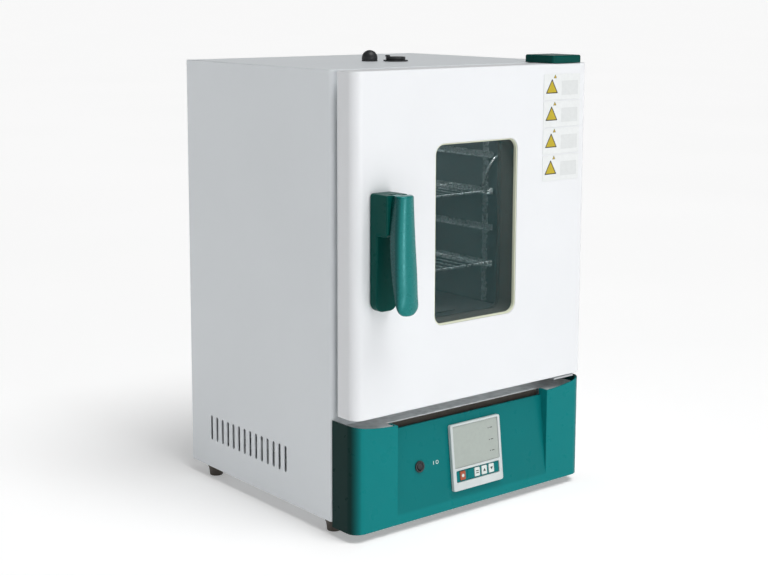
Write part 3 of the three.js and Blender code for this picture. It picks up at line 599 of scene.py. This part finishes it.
def make_top_fittings():
    x0, x1, y0, y1, z0, z1 = span("port_stopper")
    h, r = z1 - z0, (x1 - x0) / 2
    seat = h - 15.5
    profile = [(4.5, 0), (5.3, 1), (5.9, seat - 8), (5.9, seat), (r - 0.6, seat), (r, seat + 0.6),
               (r, seat + 3)]
    profile += [(r * math.cos(t * math.pi / 20), seat + 3 + 12.5 * math.sin(t * math.pi / 20))
                for t in range(1, 11)]
    stopper = turned("stopper", profile, ((x0 + x1) / 2, (y0 + y1) / 2, z0), 48)
    keep(stopper, "dome_stopper", "black_plastic", "stopper", ["port_stopper"])
    z0, z1 = span("vent_cover")[4:]
    disc = circle(VENT["x"], VENT["y"], VENT["cover"], 48)
    lid = plate("lid", disc, "xy", z0, z1, 1.2)
    px, py = VENT["pivot"]
    bores = [sharp("bore", circle(px, py, 2.4, 20), "xy", z0 - 3, z1 + 3),
             sharp("sink", circle(px, py, 5.2, 28), "xy", z0 + 4.3, z1 + 3)]
    keep(cut(lid, bores), "vent_lid", "black_plastic", "vent_cover", ["vent_cover"])


# ---- Door ---------------------------------------------------------------------------------------
EDGE_RADIUS = 17.0
WINDOW_RADIUS = 17.0
WINDOW_TRIM = 2.2
HINGE_PIN = {"x": 213.0, "y": 16.0, "bore": 4.4}


def window_outline(inset):
    x0, x1, _, _, z0, z1 = span("window_trim")
    grow = 0.3
    return rounded(x0 - grow + inset, x1 + grow - inset, z0 - grow + inset, z1 + grow - inset,
                   WINDOW_RADIUS - inset, 12)


def make_door():
    x0, x1, y0, y1, z0, z1 = span("door_outer_shell")
    shell = plate("door", rounded(x0, x1, y0, y1, [EDGE_RADIUS, EDGE_RADIUS, 3, 3], 14), "xy",
                  z0, z1, 2.4, steps=5)
    inside = rounded(x0 + SHEET, x1 - SHEET, y0 + SHEET, y1 - SHEET, [15, 15, 1, 1], 14)
    cutters = [plate("hollow", inside, "xy", z0 + SHEET, z1 - SHEET, 0.4, steps=1),
               block("rear", x0 + LIP, x1 - LIP, y1 - 10, y1 + 5, z0 + LIP, z1 - LIP, 0.01),
               sharp("window", window_outline(0), "xz", -6, 20)]
    pin = circle(HINGE_PIN["x"], HINGE_PIN["y"], HINGE_PIN["bore"], 24)
    for low, high in ((z0 - 5, z0 + 6), (z1 - 6, z1 + 5)):
        cutters.append(sharp("pin", pin, "xy", low, high))
    shell = cut(shell, cutters)
    keep(shell, "door_shell", "white_paint", "door", ["door_outer_shell"])


def make_window():
    y0, y1 = span("window_trim")[2:4]
    trim = plate("trim", window_outline(0.3), "xz", y0, y1, 1.1, [window_outline(WINDOW_TRIM)])
    keep(trim, "window_seal", "cream_trim", "door", ["window_trim"])
    for node in ("window_glass_outer", "window_glass_inner"):
        y0, y1 = span(node)[2:4]
        pane = plate("pane", window_outline(WINDOW_TRIM + 0.3), "xz", y0, y1, 0.5)
        keep(pane, node.replace("window_glass", "pane"), "glass", "door", [node])


def make_gasket():
    x0, x1, y0, y1, z0, z1 = span("door_gasket")
    width = 12.0
    hole = rounded(x0 + width, x1 - width, z0 + width, z1 - width, 10, 8)
    seal = plate("seal", rounded(x0, x1, z0, z1, 18, 10), "xz", y0, y1, 3.2, [hole], 5)
    keep(seal, "door_seal", "silicone", "door", ["door_gasket"])


def triangle(x, z, side, lift):
    """An upright triangle with softly rounded corners, drawn counter-clockwise."""
    height = side * 0.86
    corners = [(x - side / 2, z - height / 2), (x + side / 2, z - height / 2), (x, z + height / 2)]
    middle = Vector((x, z - height / 6))
    points = []
    for i, corner in enumerate(corners):
        here = Vector(corner)
        before, after = Vector(corners[i - 1]), Vector(corners[(i + 1) % 3])
        pull = min(1.4, side * 0.08)
        a = here + (before - here).normalized() * pull
        b = here + (after - here).normalized() * pull
        points += [tuple(a), tuple(0.5 * (0.5 * (a + b) + here)), tuple(b)]
    return [tuple(middle + (Vector(p) - middle) * lift) for p in points]


def make_labels():
    x0, x1, y0, y1, z0, z1 = span("label_strip")
    rows, gap = 4, 2.2
    pitch = (z1 - z0 + gap) / rows
    stickers, amber, dark, grey = [], [], [], []
    for row in range(rows):
        low = z0 + row * pitch
        high = low + pitch - gap
        stickers.append(plate("s", rounded(x0, x1, low, high, 1.5, 4), "xz", y0 + 0.1, y1, 0.1,
                              steps=1))
        x, z = x0 + 18, low + pitch * 0.51
        dark.append(sharp("d", triangle(x, z, 27, 1.0), "xz", y0 + 0.05, y0 + 0.14))
        amber.append(sharp("a", triangle(x, z, 27, 0.8), "xz", y0, y0 + 0.06))
        small = (x0 + 25, high - 3.6)
        dark.append(sharp("d", triangle(*small, 7, 1.0), "xz", y0 + 0.05, y0 + 0.14))
        amber.append(sharp("a", triangle(*small, 7, 0.75), "xz", y0, y0 + 0.06))
        field = rounded(x0 + 40, x1 - 5, low + 7, high - 11, 1, 3)
        grey.append(sharp("g", field, "xz", y0 + 0.04, y0 + 0.14))
    keep(together("stickers", stickers), "stickers", "sticker", "door", ["label_strip"])
    keep(together("marks", dark), "label_outlines", "dark_print", "door")
    keep(together("marks", amber), "label_triangles", "amber_print", "door")
    keep(together("marks", grey), "label_fields", "grey_print", "door")


def make_hinge_cover():
    x0, x1, y0, y1, z0, z1 = span("hinge_cover")
    cover = plate("cover", rounded(x0, x1, y0, y1, 5, 8), "xy", z0 - 2.6, z1, 2.6, steps=5)
    trims = [block("under", x0 - 5, x1 + 5, y0 - 5, y1 + 5, z0 - 8, z0, 0.01),
             sharp("hollow", rounded(x0 + 2, x1 - 2, y0 + 2, y1 - 2, 3, 5), "xy", z0 - 8, z1 - 2)]
    keep(cut(cover, trims), "hinge_cap", "dark_teal_plastic", "cabinet", ["hinge_cover"])


# ---- Handle -------------------------------------------------------------------------------------
HANDLE = {"plate": 17.0, "block": 40.0, "block_bottom": 445.0}
LEVER = {"pivot_y": -36.0, "pivot_z": 495.0, "bore": 2.6, "tongue": 14.0, "levels": 60,
         "tip": 16, "edge": 3, "taper": 9.0, "taper_from": 50}


def make_handle_base():
    x0, x1, _, y1, z0, z1 = span("handle_base")
    base = plate("base", rounded(x0, x1, z0, z1, [14, 14, 5, 5], 10), "xz", -HANDLE["plate"], y1,
                 2.6, steps=5)
    side = rounded(-HANDLE["block"], -HANDLE["plate"] + 9, HANDLE["block_bottom"], z1 - 0.1,
                   [8, 3, 3, 3], 8)
    head = plate("head", side, "yz", x0 + 0.15, x1 - 0.15, 2.2, steps=4)
    base = joined(base, [head])
    middle, half = (x0 + x1) / 2, LEVER["tongue"] / 2 + 0.5
    slot = block("slot", middle - half, middle + half, -50, LEVER["pivot_y"] + 8.8,
                 LEVER["pivot_z"] - 9, z1 + 5, 0.01)
    bore = sharp("bore", circle(LEVER["pivot_y"], LEVER["pivot_z"], LEVER["bore"], 20), "yz",
                 x0 + 4, x1 + 5)
    keep(cut(base, [slot, bore]), "handle_mount", "dark_teal_plastic", "door", ["handle_base"])


def quadratic(a, b, c, t):
    return a * (1 - t) ** 2 + 2 * b * t * (1 - t) + c * t * t


def on_curve(points, z):
    """The first coordinate of a line through (y, z) points, at height z."""
    for (ya, za), (yb, zb) in zip(points, points[1:]):
        if min(za, zb) <= z <= max(za, zb) and abs(zb - za) > 1e-9:
            return ya + (yb - ya) * (z - za) / (zb - za)
    return points[-1][0] if z < min(p[1] for p in points) else points[0][0]


def curve_points(a, b, c, steps=16):
    return [(quadratic(a[0], b[0], c[0], i / steps), quadratic(a[1], b[1], c[1], i / steps))
            for i in range(steps + 1)]


def lever_ring(x0, x1, front, back, z, corner):
    """One level of the lever: crowned in front, with softly rounded edges."""
    corner = max(0.3, min(corner, (x1 - x0) / 2 - 0.1, (back - front) / 2 - 0.1))
    back_corner = min(3.0, corner)
    steps, across = 8, 14
    ring = rounded(x0, x1, front, back, [corner, corner, back_corner, back_corner], steps)
    flat = (x1 - x0 - 2 * corner) / across
    face = [(x0 + corner + flat * i, front) for i in range(1, across)]
    ring = ring[:steps + 1] + face + ring[steps + 1:]
    middle, half = (x0 + x1) / 2, max((x1 - x0) / 2, 0.1)
    crown = min(7.0, 0.5 * (back - front))
    points = []
    for x, y in ring:
        share = (back - y) / max(back - front, 0.1)
        points.append((x, y + crown * share * ((x - middle) / half) ** 2, z))
    return points


def rounding(radius, distance):
    """How far a rounded edge has drawn in, at a distance from the end that it rounds."""
    if distance >= radius:
        return 0.0
    return radius - math.sqrt(max(0.0, radius ** 2 - (radius - distance) ** 2))


def make_lever():
    x0, x1, _, _, bottom, top = span("handle_lever")
    back_top = -HANDLE["block"] - 0.5
    fronts = (curve_points((-60, top - 3), (-62, top - 41), (-67.5, bottom + 74))
              + curve_points((-67.5, bottom + 74), (-72, bottom + 24), (-69, bottom + 3))[1:])
    backs = ([(back_top - 4, top), (back_top, top - 11), (back_top, HANDLE["block_bottom"] + 14)]
             + curve_points((back_top, HANDLE["block_bottom"] + 14), (-44, bottom + 74),
                            (-61, bottom + 10))[1:] + [(-62, bottom)])
    rings = []
    levels, edge, taper_from = LEVER["levels"], LEVER["edge"], LEVER["taper_from"]
    for i in range(levels + 1):
        t = (1 - math.cos(math.pi * i / levels)) / 2
        z = bottom + (top - bottom) * t
        up, down = z - bottom, top - z
        narrow = rounding(LEVER["tip"], up) + rounding(edge, down)
        narrow = min(narrow, (x1 - x0) / 2 - 1.5)
        front, back = on_curve(fronts, z), on_curve(backs, z)
        soft = rounding(edge, min(up, down))
        share = max(0.0, up - taper_from) / (top - bottom - taper_from)
        taper = LEVER["taper"] * share ** 1.4
        left = x0 + narrow + taper
        rings.append(lever_ring(left, x1 - narrow, front + soft, back - soft * 0.5, z, 5.0))
    blade = loft("lever", rings)
    middle, half = (x0 + x1) / 2, LEVER["tongue"] / 2
    ear = plate("ear", circle(LEVER["pivot_y"], LEVER["pivot_z"], 8, 40), "yz", middle - half,
                middle + half, 0.6)
    cap = block("cap", middle - half, middle + half, LEVER["pivot_y"] - 8, LEVER["pivot_y"] + 5,
                LEVER["pivot_z"], top - 0.5, 0.6)
    blade = joined(blade, [ear, cap])
    bore = sharp("bore", circle(LEVER["pivot_y"], LEVER["pivot_z"], LEVER["bore"], 20), "yz",
                 x0 - 5, x1 + 5)
    keep(cut(blade, [bore]), "lever_blade", "teal_plastic", "lever", ["handle_lever"])


# ---- Lower panel --------------------------------------------------------------------------------
PANEL = {"end_top": 160.5, "top": 149.5, "radius": 20.0, "wall": 3.0}
RECESS = {"half": 158.0, "sill": 8.0, "depth": 16.0, "top": 139.5}
SLOPE = RECESS["depth"] / (PANEL["top"] - RECESS["sill"])
LEAN = -math.atan(SLOPE)
CONTROLLER = {"x": 5.0, "z": 74.0, "half": 52.5, "body": 45.5}
SWITCH = {"x": -109.0, "z": 74.0, "barrel": 7.4, "flange": 9.0, "bore": 6.1, "paddle": 5.1}
# The black strip of painted shade under the door.
SHADE_STRIP = {"over": 1.0, "front": 26.4, "back": 28.6, "bottom": 121.0, "top": 146.2}


def on_slope(x, z):
    """The frame of a place on the sloping face: x across, z up the face and y inwards."""
    place = Matrix.Translation((x, (z - RECESS["sill"]) * SLOPE, z))
    return place @ Matrix.Rotation(LEAN, 4, "X")


def recess_cutter(back, half):
    over = PANEL["end_top"] + 14
    outline = [(back - 8, RECESS["sill"]), (back, RECESS["sill"]),
               (back + (over - RECESS["sill"]) * SLOPE, over), (back - 8, over)]
    return sharp("recess", outline, "yz", -half, half)


def top_edge():
    """The line of the panel's top: level beside the recess and sweeping up to each end."""
    far, top, ends = 241.0, PANEL["top"], PANEL["end_top"]
    left = curve_points((-far, ends), (-200, top + 1), (-RECESS["half"], top), 12)
    right = curve_points((RECESS["half"], top), (200, top + 1), (far, ends), 12)
    return left + right


def make_shade_strip():
    """Painted shade: a black strip that closes the gap between the recess and the ledge."""
    reach = RECESS["half"] + SHADE_STRIP["over"]
    seal = block("seal", -reach, reach, SHADE_STRIP["front"], SHADE_STRIP["back"],
                 SHADE_STRIP["bottom"], SHADE_STRIP["top"], 0.5)
    keep(seal, "ledge_shade_strip", "black_rubber", "cabinet")


def make_lower_panel():
    x0, x1, y0, y1, z0, z1 = span("lower_front_panel")
    r, wall = PANEL["radius"], PANEL["wall"]
    panel = plate("panel", rounded(x0, x1, y0, y1, [r, r, 0.2, 0.2], 14), "xy", z0, z1 + 4, 0.15,
                  steps=1)
    inner = rounded(x0 + wall, x1 - wall, y0 + wall, y1 + 9, [r - wall, r - wall, 0.1, 0.1], 12)
    hollow = sharp("hollow", inner, "xy", z0 - 3, z1 + 12)
    hollow = cut(hollow, [recess_cutter(wall + 0.2, RECESS["half"] + wall)])
    above = sharp("above", top_edge() + [(241, z1 + 30), (-241, z1 + 30)], "xz", -9, y1 + 9)
    hole = CONTROLLER["body"] + 0.6
    body = block("body", -hole, hole, -20, 30, -hole, hole, 0.01)
    body.data.transform(on_slope(CONTROLLER["x"], CONTROLLER["z"]))
    barrel = sharp("barrel", circle(0, 0, SWITCH["barrel"] + 0.4, 32), "xz", -20, 20)
    barrel.data.transform(on_slope(SWITCH["x"], SWITCH["z"]))
    lowered = block("lowered", -RECESS["half"], RECESS["half"], -5, 24, RECESS["top"], z1 + 9,
                    0.01)
    panel = cut(panel, [recess_cutter(0, RECESS["half"]), hollow, above, body, barrel, lowered])
    panel = eased(merged(panel), 0.9)
    keep(panel, "control_fascia", "teal_panel", "cabinet", ["lower_front_panel"])


LENS = {"half": 47.2, "low": -16.7, "high": 48.7}
LENS_HOLE = (-47.5, 47.5, -17, 49)
KEYPAD = {"half": 45.2, "low": -39.2, "high": -21.3}
KEYPAD_HOLE = (-45.5, 45.5, -39.5, -21)
KEYS = {"left": -32.0, "pitch": 15.2, "width": 11.0, "height": 14.0, "middle": -30.0}
KEY_PLACES = {"key_start": 0, "key_set": 2, "key_up": 3, "key_down": 4}
KEY_BODIES = {"key_start": "start_key", "key_set": "set_key", "key_up": "up_key",
              "key_down": "down_key"}


def key_outline(place, grow=0.0, radius=1.4):
    x = KEYS["left"] + place * KEYS["pitch"]
    w, h = KEYS["width"] / 2 + grow, KEYS["height"] / 2 + grow
    return rounded(x - w, x + w, KEYS["middle"] - h, KEYS["middle"] + h, radius, 4)


def icon_outlines(name, x, z):
    """Plain marks for the keys: a dot, two bars, and triangles up and down."""
    if name == "key_start":
        return [circle(x, z, 2.6, 20)]
    if name == "key_set":
        return [rounded(x - 3, x + 3, z + 1, z + 2.4, 0.4, 2),
                rounded(x - 3, x + 3, z - 2.4, z - 1, 0.4, 2)]
    flip = 1 if name == "key_up" else -1
    points = [(x - 3, z - 2 * flip), (x + 3, z - 2 * flip), (x, z + 2.6 * flip)]
    return [points if flip > 0 else list(reversed(points))]


def make_keys():
    place = on_slope(CONTROLLER["x"], CONTROLLER["z"])
    for name, number in KEY_PLACES.items():
        finish = "red_key" if name == "key_start" else "pale_key"
        key = plate("key", key_outline(number), "xz", -6.3, -1.3, 0.7)
        body = KEY_BODIES[name]
        keep(key, f"cap_{name}", finish, body, [name], place)
        x = KEYS["left"] + number * KEYS["pitch"]
        marks = [sharp("i", points, "xz", -6.36, -6.2)
                 for points in icon_outlines(name, x, KEYS["middle"])]
        print_name = "pale_print" if name == "key_start" else "dark_print"
        keep(together("icon", marks), f"icon_{name}", print_name, body, place=place)


def make_display(place):
    lens = plate("lens", rounded(-LENS["half"], LENS["half"], LENS["low"], LENS["high"], 1.5, 4),
                 "xz", -5.6, -3.4, 0.4)
    keep(lens, "display", "lcd", "cabinet", ["lcd_window"], place)
    marks = []
    for row, z in enumerate((34, 15, -3)):
        x = 30.5 + row * 1.0
        marks.append(sharp("m", rounded(x, x + 5.5, z, z + 1.2, 0.3, 2), "xz", -5.66, -5.5))
        marks.append(sharp("m", circle(x - 3, z + 0.6, 0.9, 14), "xz", -5.66, -5.5))
    keep(together("marks", marks), "display_marks", "dark_print", "cabinet",
         place=place)


def make_controller():
    place = on_slope(CONTROLLER["x"], CONTROLLER["z"])
    half = CONTROLLER["half"]
    holes = [rounded(*hole, 1.6, 4) for hole in (LENS_HOLE, KEYPAD_HOLE)]
    bezel = plate("bezel", rounded(-half, half, -half, half, 3.5, 6), "xz", -7, -0.3, 1.1, holes)
    keep(bezel, "bezel", "silver_plastic", "cabinet", ["controller_bezel"],
         place)
    pad_shape = rounded(-KEYPAD["half"], KEYPAD["half"], KEYPAD["low"], KEYPAD["high"], 1.4, 4)
    holes = [key_outline(n, 0.4, 1.7) for n in KEY_PLACES.values()]
    pad = plate("pad", pad_shape, "xz", -5, -2, 0.25, holes)
    blank = plate("blank", key_outline(1), "xz", -6, -2.5, 0.7)
    keep(together("pad", [pad, blank]), "keypad", "teal_panel", "cabinet", ["keypad_plate"],
         place)
    make_display(place)
    make_keys()


def make_switch():
    place = on_slope(SWITCH["x"], SWITCH["z"])
    face_on = Matrix.Rotation(math.pi / 2, 4, "X")
    barrel, flange, bore = SWITCH["barrel"], SWITCH["flange"], SWITCH["bore"]
    profile = [(bore, -14), (barrel, -14), (barrel, 0.3), (flange, 0.3), (flange, 1.6),
               (flange - 0.4, 2.3), (flange - 1.2, 2.6), (bore + 0.6, 2.6), (bore, 2.1)]
    steps = 48
    bm = bmesh.new()
    turns = [2 * math.pi * i / steps for i in range(steps)]
    rows = [[bm.verts.new((r * math.cos(t), r * math.sin(t), h)) for t in turns]
            for r, h in profile]
    for a, b in zip(rows, rows[1:] + rows[:1]):
        for i in range(steps):
            j = (i + 1) % steps
            bm.faces.new((a[i], a[j], b[j], b[i]))
    ring = from_bmesh("ring", bm)
    keep(ring, "switch_bezel", "black_plastic", "cabinet", ["power_switch_body"],
         place @ face_on)
    tilt = Matrix.Translation((0, 1, 0)) @ Matrix.Rotation(math.radians(-8), 4, "X")
    puck = plate("puck", circle(0, 0, SWITCH["paddle"], 40), "xz", -4.4, 3.0, 0.5)
    dish = sharp("dish", circle(-33.2, 0, 30, 96), "yz", -10, 10)
    keep(cut(puck, [dish]), "rocker_paddle", "black_plastic", "rocker", ["power_rocker"],
         place @ tilt)
    marks = [sharp("m", rounded(28, 29.2, -3, 3, 0.3, 3), "xz", -0.12, 0.2),
             sharp("m", circle(36, 0, 3, 28), "xz", -0.12, 0.2, [circle(36, 0, 2, 28)])]
    keep(together("marks", marks), "switch_marks", "pale_print", "cabinet",
         place=place)


# ---- Chamber ------------------------------------------------------------------------------------


def make_shelf(node, body):
    x0, x1, y0, y1, z0, z1 = span(node)
    r = (z1 - z0) / 2
    z = z0 + r
    corners = [Vector((x0 + r, y0 + r, z)), Vector((x1 - r, y0 + r, z)),
               Vector((x1 - r, y1 - r, z)), Vector((x0 + r, y1 - r, z))]
    rim = corners + [corners[0], corners[1]]
    frame_rod = tube("rim", [rim], r, 3)
    count, pitch = 15, 22.0
    paths = []
    for i in range(count):
        x = (i - (count - 1) / 2) * pitch
        paths.append([Vector((x, y0 + 1.5, z + 0.4)), Vector((x, y1 - 1.5, z + 0.4))])
    wires = tube("wires", paths, 1.35, 2)
    middle = (y0 + y1) / 2
    brace = tube("brace", [[Vector((x0 + 2, middle, z - 0.5)), Vector((x1 - 2, middle, z - 0.5))]],
                 1.45, 2)
    keep(together("shelf", [frame_rod, wires, brace]), f"wire_{node}", "bright_wire", body, [node])


def make_probe():
    wall_x, wall_y, wall_z = 183.0, 140.0, 520.0
    route = [(wall_x, wall_y, wall_z), (wall_x - 6, wall_y, wall_z),
             (168, wall_y + 1, wall_z - 1), (161, wall_y + 6, wall_z - 14),
             (158, wall_y + 14, wall_z - 34), (157, wall_y + 20, wall_z - 50)]
    path = smooth_path([Vector(p) for p in route])
    keep(tube("probe", [path], 2.45, 4), "probe_stem", "bright_wire", "cabinet",
         ["temperature_probe"])


# ---- CAD nodes that stay ------------------------------------------------------------------------
FINISHES = {
    "base_pan": "galvanised", "front_frame": "casing_paint", "compartment_deck": "galvanised",
    "chamber_liner": "dim_stainless", "chamber_insulation": "mineral_wool",
    "rack_left": "bright_wire", "rack_right": "bright_wire", "heater_element": "steel",
    "heater_cover": "stainless", "vent_tube": "black_plastic", "port_tube": "black_plastic",
    "ledge_plate": "ledge_zinc", "controller_housing": "black_plastic",
    "hinge_bracket_upper": "steel", "hinge_bracket_lower": "steel", "strike_plate": "steel",
    "control_board": "circuit_board", "transformer": "copper_winding",
    "solid_state_relay": "steel", "mains_inlet": "black_plastic",
    "door_inner_panel": "stainless", "door_insulation": "mineral_wool",
    "hinge_bush_upper": "steel", "hinge_bush_lower": "steel", "handle_pin": "steel",
    "latch_bolt": "steel",
}
NO_EASING = {"chamber_insulation", "door_insulation", "heater_element", "chamber_liner"}


def refine_cad_nodes():
    for node, finish in FINISHES.items():
        obj = NODES[node]
        obj.data.materials.clear()
        obj.data.materials.append(MAT[finish])
        if node in NO_EASING:
            continue
        weld = obj.modifiers.new("weld", "WELD")
        weld.merge_threshold = 0.00001
        bevel = obj.modifiers.new("eased", "BEVEL")
        bevel.width = 0.0004
        bevel.segments = 2
        bevel.limit_method = "ANGLE"
        bevel.angle_limit = math.radians(40)


# ---- Stage --------------------------------------------------------------------------------------


def make_floor():
    bm = bmesh.new()
    size = 1500.0
    corners = [(-size, -size, 0), (size, -size, 0), (size, size, 0), (-size, size, 0)]
    bm.faces.new([bm.verts.new(c) for c in corners])
    floor = from_bmesh("floor", bm)
    n = Nodes("floor")
    n.colours(n.noise(0.8, 2), (0.86, 0.86, 0.86), (0.88, 0.88, 0.88))
    n.rough(n.noise(3, 2), 0.85, 0.95)
    n.set(Emission_Color=(1, 1, 1, 1), Emission_Strength=0.285, Specular_IOR_Level=0.0)
    floor.data.materials.append(n.material)


def make_world():
    world = bpy.data.worlds.new("studio")
    bpy.context.scene.world = world
    world.use_nodes = True
    tree = world.node_tree
    direction = tree.nodes.new("ShaderNodeTexCoord").outputs["Generated"]
    parts = tree.nodes.new("ShaderNodeSeparateXYZ")
    ramp = tree.nodes.new("ShaderNodeValToRGB")
    ramp.color_ramp.elements[0].position = 0.03
    ramp.color_ramp.elements[0].color = (0.93, 0.93, 0.93, 1)
    ramp.color_ramp.elements[1].position = 0.3
    ramp.color_ramp.elements[1].color = (0.13, 0.13, 0.13, 1)
    tree.links.new(direction, parts.inputs["Vector"])
    tree.links.new(parts.outputs["Z"], ramp.inputs["Fac"])
    tree.links.new(ramp.outputs["Color"], tree.nodes["Background"].inputs["Color"])


def make_sun(name, towards, strength, softness):
    light = bpy.data.lights.new(name, "SUN")
    light.energy = strength
    light.angle = math.radians(softness)
    obj = bpy.data.objects.new(name, light)
    obj.rotation_mode = "QUATERNION"
    obj.rotation_quaternion = Vector(towards).to_track_quat("-Z", "Y")
    bpy.context.scene.collection.objects.link(obj)


def make_panel_light(name, place, aim, size, power):
    light = bpy.data.lights.new(name, "AREA")
    light.shape = "RECTANGLE"
    light.size, light.size_y = size
    light.energy = power
    obj = bpy.data.objects.new(name, light)
    obj.location = place
    obj.rotation_mode = "QUATERNION"
    obj.rotation_quaternion = (Vector(aim) - Vector(place)).to_track_quat("-Z", "Y")
    bpy.context.scene.collection.objects.link(obj)


# The photograph's camera: angles in degrees, place in metres, lens and sensor in millimetres.
CAMERA = {"place": (-1.5066, -1.81904, 0.81023), "azimuth": 39.074, "elevation": 8.488,
          "lens": 68.297, "sensor": 36, "shift": -0.1003}
CAMERA_ROLL = 0.00306


def make_camera():
    azimuth, elevation = math.radians(CAMERA["azimuth"]), math.radians(CAMERA["elevation"])
    roll = CAMERA_ROLL
    forward = Vector((math.sin(azimuth) * math.cos(elevation),
                      math.cos(azimuth) * math.cos(elevation), -math.sin(elevation)))
    level = Vector((math.cos(azimuth), -math.sin(azimuth), 0))
    upright = level.cross(forward)
    right = level * math.cos(roll) + upright * math.sin(roll)
    up = upright * math.cos(roll) - level * math.sin(roll)
    data = bpy.data.cameras.new("camera")
    data.lens = CAMERA["lens"]
    data.sensor_width = CAMERA["sensor"]
    data.shift_y = CAMERA["shift"]
    camera = bpy.data.objects.new("camera", data)
    turn = Matrix((right, up, -forward)).transposed().to_4x4()
    camera.matrix_world = Matrix.Translation(CAMERA["place"]) @ turn
    bpy.context.scene.collection.objects.link(camera)
    bpy.context.scene.camera = camera


make_camera()
make_world()
make_floor()
make_sun("key", (-0.06, 0.27, -0.6), 2.07, 36)
make_panel_light("strip", (-0.19, -2.7, 0.64), (-0.19, -0.2, 0.5), (0.34, 1.2), 14.0)
make_panel_light("chamber", (0, -0.11, 0.638), (0, 0.04, 0.42), (0.26, 0.02), 0.5)
make_casing()
make_rear_cover()
make_rear_screws()
make_feet()
make_top_fittings()
make_door()
make_window()
make_gasket()
make_labels()
make_hinge_cover()
make_handle_base()
make_lever()
make_shade_strip()
make_lower_panel()
make_controller()
make_switch()
make_shelf("shelf_upper", "upper_shelf")
make_shelf("shelf_lower", "lower_shelf")
make_probe()
refine_cad_nodes()

bpy.context.scene.view_settings.view_transform = "Standard"
